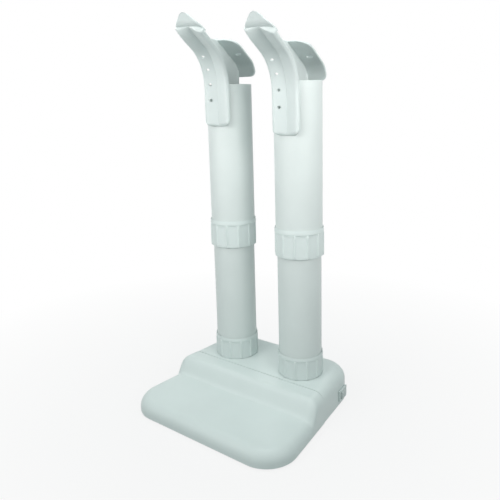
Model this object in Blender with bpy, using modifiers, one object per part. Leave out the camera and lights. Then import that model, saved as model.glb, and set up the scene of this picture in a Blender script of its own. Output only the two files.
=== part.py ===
"""Electric boot dryer: a low moulded base with a fan and two heaters, two telescoping tubes
and a toe guide on each tube.

Metres, +Z up, front at -Y. The origin is on the floor under the middle of the base.
"""
import math

import bmesh
import bpy
from mathutils import Matrix, Vector

MM = 0.001
TURN = 2.0 * math.pi

# Fits
GAP = 0.3 * MM
MERGE = 0.00001

# Base shells
BASE_DEPTH = 196.0 * MM
BASE_FRONT_WIDTH = 224.0 * MM
BASE_TAPER = math.radians(5.38)
FRONT_CORNER_R = 36.0 * MM
REAR_CORNER_R = 34.0 * MM
SHELL_WALL = 2.2 * MM
EDGE_R = 13.0 * MM
RIM_Z = 2.0 * MM
HOUSING_TOP = 38.8 * MM
PLATFORM_TOP = 19.2 * MM
TUBE_TO_REAR = 54.0 * MM
STEP_TOP_REACH = 51.5 * MM
STEP_FOOT_REACH = 62.5 * MM
STEP_TOP_R = 10.0 * MM
STEP_FOOT_R = 9.0 * MM
SEAM_REACH = 32.0 * MM
SEAM_GAP = 0.6 * MM
TRAY_PROUD = 0.8 * MM

# Bottom plate, feet and casing screws
PAN_Z = 3.0 * MM
PAN_THICK = 2.5 * MM
FOOT_R = 7.0 * MM
FOOT_STEM_R = 2.5 * MM
BOSS_R = 4.0 * MM
SCREW_R = 1.5 * MM
SCREW_HEAD_R = 3.0 * MM
SCREW_HEAD_H = 1.5 * MM
SCREW_REACH = 8.0 * MM
REAR_BOSS_FROM_SIDE = 22.0 * MM
REAR_BOSS_FROM_REAR = 13.0 * MM
SEAM_BOSS_FROM_SIDE = 13.0 * MM
HOUSING_BOSS_FROM_SEAM = 10.0 * MM
TRAY_BOSS_FROM_SEAM = 14.0 * MM
FRONT_BOSS_FROM_SIDE = 28.0 * MM
FRONT_BOSS_FROM_FRONT = 30.0 * MM
REAR_FOOT_FROM_REAR = 15.0 * MM
FRONT_FOOT_FROM_SIDE = 50.0 * MM
FRONT_FOOT_FROM_FRONT = 18.0 * MM

# Tubes and collars
TUBE_FROM_SIDE = 62.5 * MM
LOWER_TUBE_R = 26.0 * MM
LOWER_TUBE_WALL = 1.5 * MM
LOWER_TUBE_TOP = 222.0 * MM
UPPER_TUBE_WALL = 1.2 * MM
UPPER_TUBE_LENGTH = 186.5 * MM
TUBE_OVERLAP = 33.8 * MM
SOCKET_WALL = 2.0 * MM
SOCKET_DEPTH = 10.0 * MM
SOCKET_LEDGE = 3.0 * MM
COLLAR_RIBS = 12
RIB_WIDTH = 2.2 * MM
RIB_HEIGHT = 0.7 * MM
COLLAR_RIM_BAND = 1.5 * MM
BASE_RIB_START = math.radians(18.6)
LOCK_RIB_START = math.radians(21.4)
BASE_COLLAR_R = 28.0 * MM
BASE_COLLAR_HEIGHT = 25.2 * MM
BASE_COLLAR_CONE = 2.7 * MM
LOCK_COLLAR_R = 29.4 * MM
LOCK_COLLAR_HEIGHT = 30.0 * MM
LOCK_COLLAR_CONE = 3.6 * MM
CLAMP_RECESS = 4.0 * MM
CLAMP_HEIGHT = 8.0 * MM
CLAMP_SPLIT = 3.0 * MM

# Toe guides: heights are from the seat, the plane that rests on the tube's rim
GUIDE_TURN = {"left": math.radians(11.5), "right": math.radians(7.5)}
GUIDE_LIFT = {"left": 9.5 * MM, "right": 0.0}
STRIP_CLEAR = 0.4 * MM
STRIP_FOOT = 58.5 * MM
STRIP_HALF_WIDTH = 16.2 * MM
STRIP_THICK = 1.2 * MM
STRIP_FOOT_R = 9.0 * MM
PAD_RISE = 3.8 * MM
PAD_CREST = 11.0 * MM
PAD_EDGE_DROP = 1.7 * MM
PAD_WALL = 1.6 * MM
PAD_END_WALL = 2.0 * MM
PAD_ARCH = 4.5 * MM
BEND_START = -14.0 * MM
BEND_R = 52.0 * MM
BEND_ANGLE = math.radians(62.0)
PAD_RUN = 36.0 * MM
TONGUE_ROOT = 10.0 * MM
TONGUE_THICK = 2.0 * MM
TONGUE_SINK = 0.2 * MM
TONGUE_LEAD = 0.6 * MM
CURL_R = 14.0 * MM
CURL_ANGLE = math.radians(32.0)
TONGUE_TAIL = 9.0 * MM
SHOULDER_BACK = 2.0 * MM
SHOULDER_R = 4.0 * MM
TIP_HALF_WIDTH = 3.4 * MM
TIP_R = 3.2 * MM
VENT_R = 1.8 * MM
VENT_PITCH = 18.5 * MM
VENT_COUNT = 4
VENT_START = -14.0 * MM
VENT_OFFSET = 7.5 * MM
SADDLE_HALF_WIDTH = 24.5 * MM
SADDLE_THICK = 2.6 * MM
SADDLE_BEND_R = 22.0 * MM
SADDLE_SLOPE = math.radians(27.0)
SADDLE_RUN = 47.0 * MM
SADDLE_STEPS = 7
SADDLE_FRONT_R = 12.0 * MM
SADDLE_FOOT_R = 7.0 * MM
SLOT_OFFSET = 14.5 * MM
SLOT_LENGTH = 8.0 * MM
SLOT_WIDTH = 4.0 * MM
WEB_THICK = 3.0 * MM
WEB_BITE = 1.0 * MM
WEB_TOP_RUN = 20.0 * MM
BEAD_R = 2.5 * MM
PLUG_DEPTH = 45.0 * MM
PLUG_CLEAR = 0.7 * MM
FIN_TOP = 14.0 * MM
FIN_STEP = 2.0 * MM
BEAD_STEP = 1.0 * MM

# Air path
DUCT_WALL = 1.5 * MM
DUCT_CLEAR = 0.7 * MM
MOTOR_R = 14.0 * MM
MOTOR_HEIGHT = 12.0 * MM
MOTOR_EAR_R = 3.4 * MM
MOTOR_EAR_REACH = 16.0 * MM
MOTOR_EAR_THICK = 2.0 * MM
MOTOR_SCREW_R = 1.0 * MM
SHAFT_R = 1.5 * MM
SHAFT_RISE = 9.0 * MM
FAN_R = 25.0 * MM
FAN_INNER_R = 19.5 * MM
FAN_BLADES = 11
FAN_BLADE_CURVE = math.radians(20.0)
FAN_BLADE_THICK = 1.0 * MM
FAN_BLADE_HEIGHT = 11.0 * MM
FAN_DISC_THICK = 1.6 * MM
FAN_RING_WALL = 1.5 * MM
FAN_RISE = 2.0 * MM
FAN_HUB_R = 4.5 * MM
FAN_HUB_HEIGHT = 5.0 * MM
INTAKE_SLOTS = 10
INTAKE_SLOT_WIDTH = 3.0 * MM
INTAKE_INNER_R = 20.5 * MM
INTAKE_OUTER_R = 27.0 * MM
HEATER_TO_FAN = 7.5 * MM
HEATER_REACH = 17.0 * MM
HEATER_WIDTH = 30.0 * MM
HEATER_HEIGHT = 8.0 * MM
HEATER_LEGS = 4.0 * MM
HEATER_FINS = 7
HEATER_FIN_THICK = 1.0 * MM
HEATER_CORE = 4.0 * MM

# Electrics
CUTOUT_R = 7.5 * MM
CUTOUT_HEIGHT = 6.0 * MM
CUTOUT_EDGE = 1.0 * MM
CUTOUT_FROM_REAR = 13.0 * MM
CUTOUT_X = -33.0 * MM
TAB_THICK = 0.8 * MM
TAB_WIDTH = 4.0 * MM
TAB_RISE = 6.0 * MM
TERMINAL_SIZE = (24.0 * MM, 12.0 * MM, 12.0 * MM)
TERMINAL_X = 9.0 * MM
TERMINAL_FROM_REAR = 14.0 * MM
BUSHING_R = 6.0 * MM
BUSHING_LIP = 2.0 * MM
BUSHING_BORE_R = 3.5 * MM
BUSHING_Z = 18.0 * MM
BUSHING_X = 42.0 * MM
LOUVRES = 7
LOUVRE_PITCH = 6.0 * MM
LOUVRE_WIDTH = 2.6 * MM
LOUVRE_LOW = 11.0 * MM
LOUVRE_HIGH = 23.0 * MM
SWITCH_REACH = 20.5 * MM
SWITCH_Z = 13.0 * MM
SWITCH_LENGTH = 21.0 * MM
SWITCH_HEIGHT = 14.5 * MM
SWITCH_BORDER = 1.2 * MM
SWITCH_FLANGE = 1.4 * MM
SWITCH_DEPTH = 14.0 * MM
SWITCH_POCKET = 8.0 * MM
ROCKER_MARGIN = 2.6 * MM
ROCKER_PIN_R = 0.8 * MM
ROCKER_PIN_REACH = 0.9 * MM
ROCKER_RISE = 1.6 * MM
ROCKER_EDGE_R = 0.6 * MM
ROCKER_TILT = math.radians(8.0)
ROCKER_AXIS_DEPTH = 3.0 * MM

# Worked out from the sizes above
FRONT_Y = -(BASE_DEPTH - TRAY_PROUD + BUSHING_LIP) / 2.0
REAR_Y = FRONT_Y + BASE_DEPTH
TUBE_Y = REAR_Y - TUBE_TO_REAR
SEAM_Y = TUBE_Y - SEAM_REACH
TUBE_SPACING = BASE_FRONT_WIDTH - 2.0 * TUBE_FROM_SIDE
TUBE_X = {"left": -TUBE_SPACING / 2.0, "right": TUBE_SPACING / 2.0}
HEATER_LENGTH = TUBE_SPACING / 2.0 + HEATER_REACH - FAN_R - HEATER_TO_FAN
ROOF_Z = HOUSING_TOP - SHELL_WALL
PAN_TOP = PAN_Z + PAN_THICK
FLOOR_Z = PAN_TOP + GAP
UPPER_BORE_R = LOWER_TUBE_R + GAP
UPPER_TUBE_R = UPPER_BORE_R + UPPER_TUBE_WALL
SOCKET_BORE_R = LOWER_TUBE_R + GAP
SOCKET_R = SOCKET_BORE_R + SOCKET_WALL
SOCKET_FLOOR = ROOF_Z - SOCKET_DEPTH
DUCT_INNER_R = SOCKET_R + DUCT_CLEAR
LOCK_COLLAR_Z = LOWER_TUBE_TOP - TUBE_OVERLAP
CLAMP_Z = LOCK_COLLAR_Z + CLAMP_RECESS
UPPER_TUBE_FOOT = CLAMP_Z + CLAMP_HEIGHT + GAP
UPPER_TUBE_TOP = UPPER_TUBE_FOOT + UPPER_TUBE_LENGTH
SEAT_Z = {side: UPPER_TUBE_TOP + GAP + lift for side, lift in GUIDE_LIFT.items()}
CREASE_D = UPPER_TUBE_R + STRIP_CLEAR + STRIP_THICK
BEND_CENTRE_D = CREASE_D + BEND_R
PAD_END = BEND_R * BEND_ANGLE + PAD_RUN
PLUG_R = UPPER_BORE_R - PLUG_CLEAR

PLASTIC = (0.80, 0.83, 0.82)
TUBE_PLASTIC = (0.84, 0.86, 0.86)
DARK = (0.05, 0.05, 0.055)
METAL = (0.62, 0.62, 0.60)


def fresh_collection(name):
    """An empty collection in the scene."""
    found = bpy.data.collections.get(name)
    if found:
        bpy.data.collections.remove(found)
    made = bpy.data.collections.new(name)
    bpy.context.scene.collection.children.link(made)
    return made


for old in list(bpy.data.objects):
    bpy.data.objects.remove(old, do_unlink=True)
PARTS = fresh_collection("boot_dryer")
CUTTERS = fresh_collection("cutters")


def material(name, color, roughness, metallic=0.0):
    """A plain Principled finish."""
    made = bpy.data.materials.get(name) or bpy.data.materials.new(name)
    made.use_nodes = True
    shader = made.node_tree.nodes["Principled BSDF"]
    shader.inputs["Base Color"].default_value = (*color, 1.0)
    shader.inputs["Roughness"].default_value = roughness
    shader.inputs["Metallic"].default_value = metallic
    return made


def place(name, mesh):
    """A new object in the parts collection."""
    made = bpy.data.objects.new(name, mesh)
    PARTS.objects.link(made)
    return made


def from_bmesh(name, bm):
    """A new object that owns the finished bmesh."""
    mesh = bpy.data.meshes.new(name)
    bm.to_mesh(mesh)
    bm.free()
    return place(name, mesh)


def finish(obj, color, roughness, metallic=0.0):
    """Give a part its own material and smooth shading on its round faces."""
    obj.data.materials.clear()
    obj.data.materials.append(material(obj.name + "_finish", color, roughness, metallic))
    obj.data.shade_smooth()
    obj.data.set_sharp_from_angle(angle=math.radians(35.0))
    return obj


def as_tool(obj):
    """Move an object to the cutters, where it only shapes other parts."""
    PARTS.objects.unlink(obj)
    CUTTERS.objects.link(obj)
    obj.hide_render = True
    obj.display_type = "WIRE"
    return obj


def boolean(target, tool, operation):
    """Cut, join or intersect a part with a tool object."""
    step = target.modifiers.new(operation.lower(), "BOOLEAN")
    step.operation = operation
    step.solver = "EXACT"
    step.object = as_tool(tool)
    return target


def cut(target, *tools):
    for tool in tools:
        boolean(target, tool, "DIFFERENCE")
    return target


def join(target, *tools):
    for tool in tools:
        boolean(target, tool, "UNION")
    return target


def evaluated_mesh(obj):
    """The object's shape with all its modifiers, as a new mesh in the object's own frame."""
    graph = bpy.context.evaluated_depsgraph_get()
    graph.update()
    return bpy.data.meshes.new_from_object(obj.evaluated_get(graph))


def copies(name, source, places):
    """One object that holds a separate copy of the source's shape at each place."""
    mesh = evaluated_mesh(source)
    bm = bmesh.new()
    for matrix in places:
        start = len(bm.verts)
        bm.from_mesh(mesh)
        bm.verts.ensure_lookup_table()
        bmesh.ops.transform(bm, matrix=matrix, verts=bm.verts[start:])
    bpy.data.objects.remove(source, do_unlink=True)
    return from_bmesh(name, bm)


def scatter(name, source, places, *look):
    """One object for each place, all with the source's shape as their mesh."""
    mesh = evaluated_mesh(source)
    bpy.data.objects.remove(source, do_unlink=True)
    for i, matrix in enumerate(places):
        made = place("%s_%d" % (name, i + 1), mesh.copy())
        made.matrix_world = matrix
        finish(made, *look)


def around(count, centre=(0.0, 0.0, 0.0), start=0.0):
    """Matrices evenly turned about a vertical axis through the centre."""
    move = Matrix.Translation(centre)
    return [move @ Matrix.Rotation(start + TURN * i / count, 4, "Z") for i in range(count)]


def box(name, low, high):
    """A box between two corners."""
    low = Vector(low)
    size = Vector(high) - low
    bm = bmesh.new()
    matrix = Matrix.Translation(low + size / 2.0) @ Matrix.Diagonal((*size, 1.0))
    bmesh.ops.create_cube(bm, size=1.0, matrix=matrix)
    return from_bmesh(name, bm)


def rod(name, radius, start, end, sides=24):
    """A round bar between two points."""
    start = Vector(start)
    span = Vector(end) - start
    turn = Vector((0.0, 0.0, 1.0)).rotation_difference(span).to_matrix().to_4x4()
    matrix = Matrix.Translation(start + span / 2.0) @ turn
    bm = bmesh.new()
    bmesh.ops.create_cone(bm, cap_ends=True, segments=sides, radius1=radius, radius2=radius,
                          depth=span.length, matrix=matrix)
    return from_bmesh(name, bm)


def turned(name, profile, centre, sides=36):
    """A profile of (radius, height) points, outer side first from the top down, turned about Z."""
    mesh = bpy.data.meshes.new(name)
    count = len(profile)
    on_axis = profile[0][0] == 0.0
    edges = [(i, (i + 1) % count) for i in range(count - 1 if on_axis else count)]
    mesh.from_pydata([(r, 0.0, z) for r, z in profile], edges, [])
    made = place(name, mesh)
    made.location = centre
    screw = made.modifiers.new("turn", "SCREW")
    screw.axis = "Z"
    screw.angle = TURN
    screw.steps = sides
    screw.render_steps = sides
    screw.use_merge_vertices = True
    screw.merge_threshold = MERGE
    return made


def ring(name, outer, inner, low, high, centre, sides=36):
    """A plain round sleeve."""
    return turned(name, [(outer, high), (outer, low), (inner, low), (inner, high)], centre, sides)


def rounded(corners, steps=6, closed=True):
    """Outline points with each corner (u, v, radius) rounded by an arc."""
    points = []
    count = len(corners)
    for i, (u, v, radius) in enumerate(corners):
        corner = Vector((u, v))
        if radius <= 0.0 or (not closed and i in (0, count - 1)):
            points.append(corner)
            continue
        before = (Vector(corners[i - 1][:2]) - corner).normalized()
        after = (Vector(corners[(i + 1) % count][:2]) - corner).normalized()
        half = before.angle(after) / 2.0
        centre = corner + (before + after).normalized() * (radius / math.sin(half))
        start = corner + before * (radius / math.tan(half)) - centre
        end = corner + after * (radius / math.tan(half)) - centre
        sweep = start.angle_signed(end)
        for j in range(steps + 1):
            turn = Matrix.Rotation(-sweep * j / steps, 2)
            points.append(centre + turn @ start)
    return points


def prism(name, outlines, low, high, axis="Z"):
    """Flat outlines, the first with the others as holes, given thickness along one axis.

    The outline's two coordinates are (x, y) along Z, (y, z) along X and (x, z) along Y.
    """
    curve = bpy.data.curves.new(name, "CURVE")
    curve.dimensions = "2D"
    curve.fill_mode = "BOTH"
    curve.extrude = (high - low) / 2.0
    for outline in outlines:
        spline = curve.splines.new("POLY")
        spline.points.add(len(outline) - 1)
        for point, (u, v) in zip(spline.points, outline):
            point.co = (u, v, 0.0, 1.0)
        spline.use_cyclic_u = True
    source = place(name + "_outline", curve)
    mesh = evaluated_mesh(source)
    bpy.data.objects.remove(source, do_unlink=True)
    bpy.data.curves.remove(curve)
    middle = (low + high) / 2.0
    frames = {
        "Z": Matrix(((1, 0, 0, 0), (0, 1, 0, 0), (0, 0, 1, middle), (0, 0, 0, 1))),
        "X": Matrix(((0, 0, 1, middle), (1, 0, 0, 0), (0, 1, 0, 0), (0, 0, 0, 1))),
        "Y": Matrix(((1, 0, 0, 0), (0, 0, -1, middle), (0, 1, 0, 0), (0, 0, 0, 1))),
    }
    bm = bmesh.new()
    bm.from_mesh(mesh)
    bpy.data.meshes.remove(mesh)
    bmesh.ops.remove_doubles(bm, verts=bm.verts, dist=MERGE)
    bmesh.ops.transform(bm, matrix=frames[axis], verts=bm.verts)
    bmesh.ops.recalc_face_normals(bm, faces=bm.faces)
    return from_bmesh(name, bm)


def swept(name, loop, moves):
    """A closed loop of points carried through straight runs and turns about X, with its ends closed.

    A run is a vector. A turn is (centre, angle, steps).
    """
    bm = bmesh.new()
    verts = [bm.verts.new(point) for point in loop]
    edges = [bm.edges.new((verts[i - 1], verts[i])) for i in range(len(verts))]
    first = list(edges)
    for move in moves:
        if isinstance(move, Vector):
            made = bmesh.ops.extrude_edge_only(bm, edges=edges)["geom"]
            moved = [part for part in made if isinstance(part, bmesh.types.BMVert)]
            bmesh.ops.translate(bm, verts=moved, vec=move)
            edges = [e for e in made if isinstance(e, bmesh.types.BMEdge) and set(e.verts) <= set(moved)]
        else:
            centre, angle, steps = move
            geom = edges + list({v for e in edges for v in e.verts})
            made = bmesh.ops.spin(bm, geom=geom, cent=centre, axis=(1.0, 0.0, 0.0), angle=angle,
                                  steps=steps, use_duplicate=False)["geom_last"]
            edges = [part for part in made if isinstance(part, bmesh.types.BMEdge)]
    bmesh.ops.contextual_create(bm, geom=first)
    bmesh.ops.contextual_create(bm, geom=edges)
    bmesh.ops.recalc_face_normals(bm, faces=bm.faces)
    return from_bmesh(name, bm)


# Plan and side view of the base
def side_x(y, inset=0.0):
    """Half width of the base at a distance from front to rear."""
    return BASE_FRONT_WIDTH / 2.0 - (y - FRONT_Y) * math.tan(BASE_TAPER) - inset / math.cos(BASE_TAPER)


STEP_LINE = rounded([
    (FRONT_Y - EDGE_R, PLATFORM_TOP, 0.0),
    (TUBE_Y - STEP_FOOT_REACH, PLATFORM_TOP, STEP_FOOT_R),
    (TUBE_Y - STEP_TOP_REACH, HOUSING_TOP, STEP_TOP_R),
    (REAR_Y + EDGE_R, HOUSING_TOP, 0.0),
], steps=5, closed=False)


def top_height(y):
    """Height of the top face: the low platform, the step and the high rear."""
    for low, high in zip(STEP_LINE, STEP_LINE[1:]):
        if y <= high.x:
            return low.y + (high.y - low.y) * (y - low.x) / (high.x - low.x)
    return HOUSING_TOP


def half_plan(inset, corner_steps=6):
    """Right half of the plan outline, from the front middle round to the rear middle."""
    front = FRONT_Y + inset
    rear = REAR_Y - inset
    line = rounded([
        (0.0, front, 0.0),
        (side_x(front, inset), front, FRONT_CORNER_R - inset),
        (side_x(rear, inset), rear, REAR_CORNER_R - inset),
        (0.0, rear, 0.0),
    ], corner_steps, closed=False)
    middle = corner_steps + 2
    side = [Vector((side_x(p.x, inset), p.x)) for p in STEP_LINE[1:-1]]
    return line[:middle] + side + line[middle:]


def full_plan(inset):
    """The whole plan outline."""
    half = half_plan(inset)[1:-1]
    return half + [Vector((-p.x, p.y)) for p in reversed(half)]


def base_shell(name, inset, roll_steps=4):
    """Half of the base's skin lofted from its rim, up its wall and over its rolled edge, then
    mirrored and given its wall thickness."""
    rows = [[(p.x, p.y, RIM_Z) for p in half_plan(inset)]]
    for i in range(roll_steps + 1):
        angle = math.pi / 2.0 * i / roll_steps
        line = half_plan(inset + EDGE_R * (1.0 - math.cos(angle)))
        drop = EDGE_R * (1.0 - math.sin(angle))
        rows.append([(p.x, p.y, top_height(p.y) - drop) for p in line])
    bm = bmesh.new()
    grid = [[bm.verts.new(point) for point in row] for row in rows]
    for low, high in zip(grid, grid[1:]):
        for i in range(len(low) - 1):
            bm.faces.new((low[i], low[i + 1], high[i + 1], high[i]))
    top = grid[-1]
    spine = [bm.verts.new((0.0, v.co.y, v.co.z)) for v in top[2:-2]]
    spine = [top[0]] + spine + [top[-1]]
    for i in range(len(spine) - 1):
        bm.faces.new((spine[i], top[i + 1], top[i + 2], spine[i + 1]))
    made = from_bmesh(name, bm)
    mirror = made.modifiers.new("other_half", "MIRROR")
    mirror.use_axis = (True, False, False)
    mirror.merge_threshold = MERGE
    wall = made.modifiers.new("wall", "SOLIDIFY")
    wall.thickness = SHELL_WALL
    wall.offset = -1.0
    wall.use_even_offset = True
    return made


def seam_block(name, low_y, high_y):
    """A block that clears everything between two distances."""
    wide = BASE_FRONT_WIDTH
    return box(name, (-wide, low_y, -wide), (wide, high_y, wide))


# Places that several parts share
def both_sides(x, y):
    """A pair of places, mirrored across the middle."""
    return [(-x, y), (x, y)]


REAR_BOSSES = both_sides(side_x(REAR_Y) - REAR_BOSS_FROM_SIDE, REAR_Y - REAR_BOSS_FROM_REAR)
REAR_BOSSES += both_sides(side_x(SEAM_Y) - SEAM_BOSS_FROM_SIDE, SEAM_Y + HOUSING_BOSS_FROM_SEAM)
TRAY_BOSSES = both_sides(side_x(FRONT_Y) - FRONT_BOSS_FROM_SIDE, FRONT_Y + FRONT_BOSS_FROM_FRONT)
TRAY_BOSSES += both_sides(side_x(SEAM_Y) - SEAM_BOSS_FROM_SIDE, SEAM_Y - TRAY_BOSS_FROM_SEAM)
FEET = both_sides(TUBE_SPACING / 2.0, REAR_Y - REAR_FOOT_FROM_REAR)
FEET += both_sides(side_x(FRONT_Y) - FRONT_FOOT_FROM_SIDE, FRONT_Y + FRONT_FOOT_FROM_FRONT)
MOTOR_EARS = around(3, (0.0, TUBE_Y, 0.0), math.pi / 2.0)


def boss(name, spot, roof):
    """A screw post that hangs from a shell's roof to just above the bottom plate."""
    return rod(name, BOSS_R, (*spot, FLOOR_Z), (*spot, roof + SHELL_WALL / 2.0), 8)


def pilot(name, spot):
    """The hole that a casing screw takes in its post."""
    start = (*spot, FLOOR_Z - BOSS_R)
    return rod(name, SCREW_R + GAP, start, (*spot, FLOOR_Z + SCREW_REACH + GAP), 6)


def front_tray():
    """The low front shell with the step, a little wider than the rear one."""
    shell = base_shell("front_tray", 0.0)
    cut(shell, seam_block("tray_cut", SEAM_Y - SEAM_GAP / 2.0, REAR_Y + BASE_DEPTH))
    for i, spot in enumerate(TRAY_BOSSES):
        join(shell, boss("tray_boss_%d" % i, spot, top_height(spot[1]) - SHELL_WALL))
        cut(shell, pilot("tray_pilot_%d" % i, spot))
    return finish(shell, PLASTIC, 0.42)


def switch_frame():
    """The switch's own frame: X out of the right wall, Y along it, on the wall's outer face."""
    y = TUBE_Y + SWITCH_REACH
    move = Matrix.Translation((side_x(y, TRAY_PROUD), y, SWITCH_Z))
    return move @ Matrix.Rotation(BASE_TAPER, 4, "Z")


def switch_opening():
    """The hole in the wall that the switch's body passes through."""
    half_length = SWITCH_LENGTH / 2.0 - SWITCH_BORDER + GAP
    half_height = SWITCH_HEIGHT / 2.0 - SWITCH_BORDER + GAP
    tool = box("switch_hole", (-SWITCH_DEPTH, -half_length, -half_height),
               (SWITCH_DEPTH, half_length, half_height))
    tool.matrix_world = switch_frame()
    return tool


def louvres():
    """Upright intake slots in the rear wall."""
    slot = box("louvre", (-LOUVRE_WIDTH / 2.0, REAR_Y - EDGE_R, LOUVRE_LOW),
               (LOUVRE_WIDTH / 2.0, REAR_Y + EDGE_R, LOUVRE_HIGH))
    middle = (LOUVRES - 1) / 2.0
    return copies("louvre_cut", slot,
                  [Matrix.Translation(((i - middle) * LOUVRE_PITCH, 0.0, 0.0)) for i in range(LOUVRES)])


def tube_socket(side):
    """The plug under the roof that becomes the lower tube's socket once it is bored."""
    x = TUBE_X[side]
    return rod("socket_" + side, SOCKET_R, (x, TUBE_Y, SOCKET_FLOOR - SOCKET_WALL),
               (x, TUBE_Y, ROOF_Z + SHELL_WALL / 2.0), 24)


def socket_bores(side):
    """The bore that the lower tube stands in, and the smaller air hole that leaves a ledge under it."""
    x = TUBE_X[side]
    bore = rod("tube_hole_" + side, SOCKET_BORE_R, (x, TUBE_Y, SOCKET_FLOOR),
               (x, TUBE_Y, 2.0 * HOUSING_TOP), 36)
    air = rod("air_hole_" + side, SOCKET_BORE_R - SOCKET_LEDGE,
              (x, TUBE_Y, SOCKET_FLOOR - 2.0 * SOCKET_WALL), (x, TUBE_Y, HOUSING_TOP), 24)
    return bore, air


def rear_housing():
    """The tall rear shell with its tube sockets, screw posts, switch opening and rear slots."""
    shell = base_shell("rear_housing", TRAY_PROUD)
    cut(shell, seam_block("housing_cut", FRONT_Y - BASE_DEPTH, SEAM_Y + SEAM_GAP / 2.0))
    for i, spot in enumerate(REAR_BOSSES):
        join(shell, boss("housing_boss_%d" % i, spot, ROOF_Z))
        cut(shell, pilot("housing_pilot_%d" % i, spot))
    for side in TUBE_X:
        join(shell, tube_socket(side))
        cut(shell, *socket_bores(side))
    cut(shell, switch_opening(), louvres())
    hole = (BUSHING_X, REAR_Y - EDGE_R, BUSHING_Z)
    cut(shell, rod("bushing_hole", BUSHING_R + GAP, hole, (BUSHING_X, REAR_Y + EDGE_R, BUSHING_Z)))
    return finish(shell, PLASTIC, 0.42)


def base_pan():
    """The bottom plate, with intake slots under the fan and holes for screws and feet."""
    plate = prism("base_pan", [full_plan(TRAY_PROUD + SHELL_WALL + GAP)], PAN_Z, PAN_TOP)
    slot = box("slot", (INTAKE_INNER_R, -INTAKE_SLOT_WIDTH / 2.0, 0.0),
               (INTAKE_OUTER_R, INTAKE_SLOT_WIDTH / 2.0, 2.0 * PAN_TOP))
    cut(plate, copies("intake_cut", slot, around(INTAKE_SLOTS, (0.0, TUBE_Y, 0.0), TURN / 40.0)))
    drill = rod("drill", SCREW_R + GAP, (0.0, 0.0, 0.0), (0.0, 0.0, 2.0 * PAN_TOP), 8)
    spots = [Matrix.Translation((*spot, 0.0)) for spot in REAR_BOSSES + TRAY_BOSSES]
    cut(plate, copies("screw_holes", drill, spots))
    drill = rod("drill", FOOT_STEM_R + GAP, (0.0, 0.0, 0.0), (0.0, 0.0, 2.0 * PAN_TOP), 10)
    cut(plate, copies("foot_holes", drill, [Matrix.Translation((*spot, 0.0)) for spot in FEET]))
    start = (MOTOR_EAR_REACH, 0.0, 0.0)
    drill = rod("drill", MOTOR_SCREW_R + GAP, start, (MOTOR_EAR_REACH, 0.0, 2.0 * PAN_TOP), 8)
    cut(plate, copies("motor_holes", drill, MOTOR_EARS))
    return finish(plate, PLASTIC, 0.5)


def rubber_feet():
    """Round feet with a stem that presses into the bottom plate."""
    top = PAN_Z - GAP
    foot = turned("foot", [
        (0.0, PAN_TOP),
        (FOOT_STEM_R, PAN_TOP),
        (FOOT_STEM_R, top),
        (FOOT_R, top),
        (FOOT_R - top / 3.0, 0.0),
        (0.0, 0.0),
    ], (0.0, 0.0, 0.0), 12)
    scatter("rubber_foot", foot, [Matrix.Translation((*spot, 0.0)) for spot in FEET], DARK, 0.8)


def casing_screws():
    """Screws that go up through the bottom plate into the shells' posts."""
    top = PAN_Z - GAP
    tip = FLOOR_Z + SCREW_REACH
    screw = turned("screw", [
        (0.0, tip),
        (SCREW_R, tip - SCREW_R),
        (SCREW_R, top),
        (SCREW_HEAD_R, top),
        (SCREW_HEAD_R, top - SCREW_HEAD_H),
        (0.0, top - SCREW_HEAD_H),
    ], (0.0, 0.0, 0.0), 8)
    spots = [Matrix.Translation((*spot, 0.0)) for spot in REAR_BOSSES + TRAY_BOSSES]
    scatter("casing_screw", screw, spots, METAL, 0.35, 1.0)


# Air path
def stadium(radius, steps=10):
    """Outline that runs round both tube axes at one radius."""
    points = []
    for centre, start in ((TUBE_X["right"], -math.pi / 2.0), (TUBE_X["left"], math.pi / 2.0)):
        for i in range(steps + 1):
            angle = start + math.pi * i / steps
            points.append((centre + radius * math.cos(angle), TUBE_Y + radius * math.sin(angle)))
    return points


def air_duct():
    """The upright wall that leads the fan's air to both tubes."""
    outlines = [stadium(DUCT_INNER_R + DUCT_WALL), stadium(DUCT_INNER_R)]
    return finish(prism("air_duct", outlines, FLOOR_Z, ROOF_Z - GAP), PLASTIC, 0.5)


def fan_motor():
    """A flat motor on three ears, with its shaft up."""
    centre = (0.0, TUBE_Y, FLOOR_Z)
    motor = turned("fan_motor", [
        (0.0, MOTOR_HEIGHT + SHAFT_RISE),
        (SHAFT_R, MOTOR_HEIGHT + SHAFT_RISE),
        (SHAFT_R, MOTOR_HEIGHT),
        (MOTOR_R - SHAFT_R, MOTOR_HEIGHT),
        (MOTOR_R, MOTOR_HEIGHT - SHAFT_R),
        (MOTOR_R, 0.0),
        (0.0, 0.0),
    ], centre, 20)
    ear = rod("ear", MOTOR_EAR_R, (MOTOR_EAR_REACH, 0.0, FLOOR_Z),
              (MOTOR_EAR_REACH, 0.0, FLOOR_Z + MOTOR_EAR_THICK), 12)
    join(motor, copies("motor_ears", ear, MOTOR_EARS))
    hole = rod("ear_hole", MOTOR_SCREW_R + GAP, (MOTOR_EAR_REACH, 0.0, 0.0),
               (MOTOR_EAR_REACH, 0.0, FLOOR_Z + MOTOR_HEIGHT / 2.0), 8)
    cut(motor, copies("motor_ear_holes", hole, MOTOR_EARS))
    return finish(motor, METAL, 0.4, 0.8)


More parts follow.
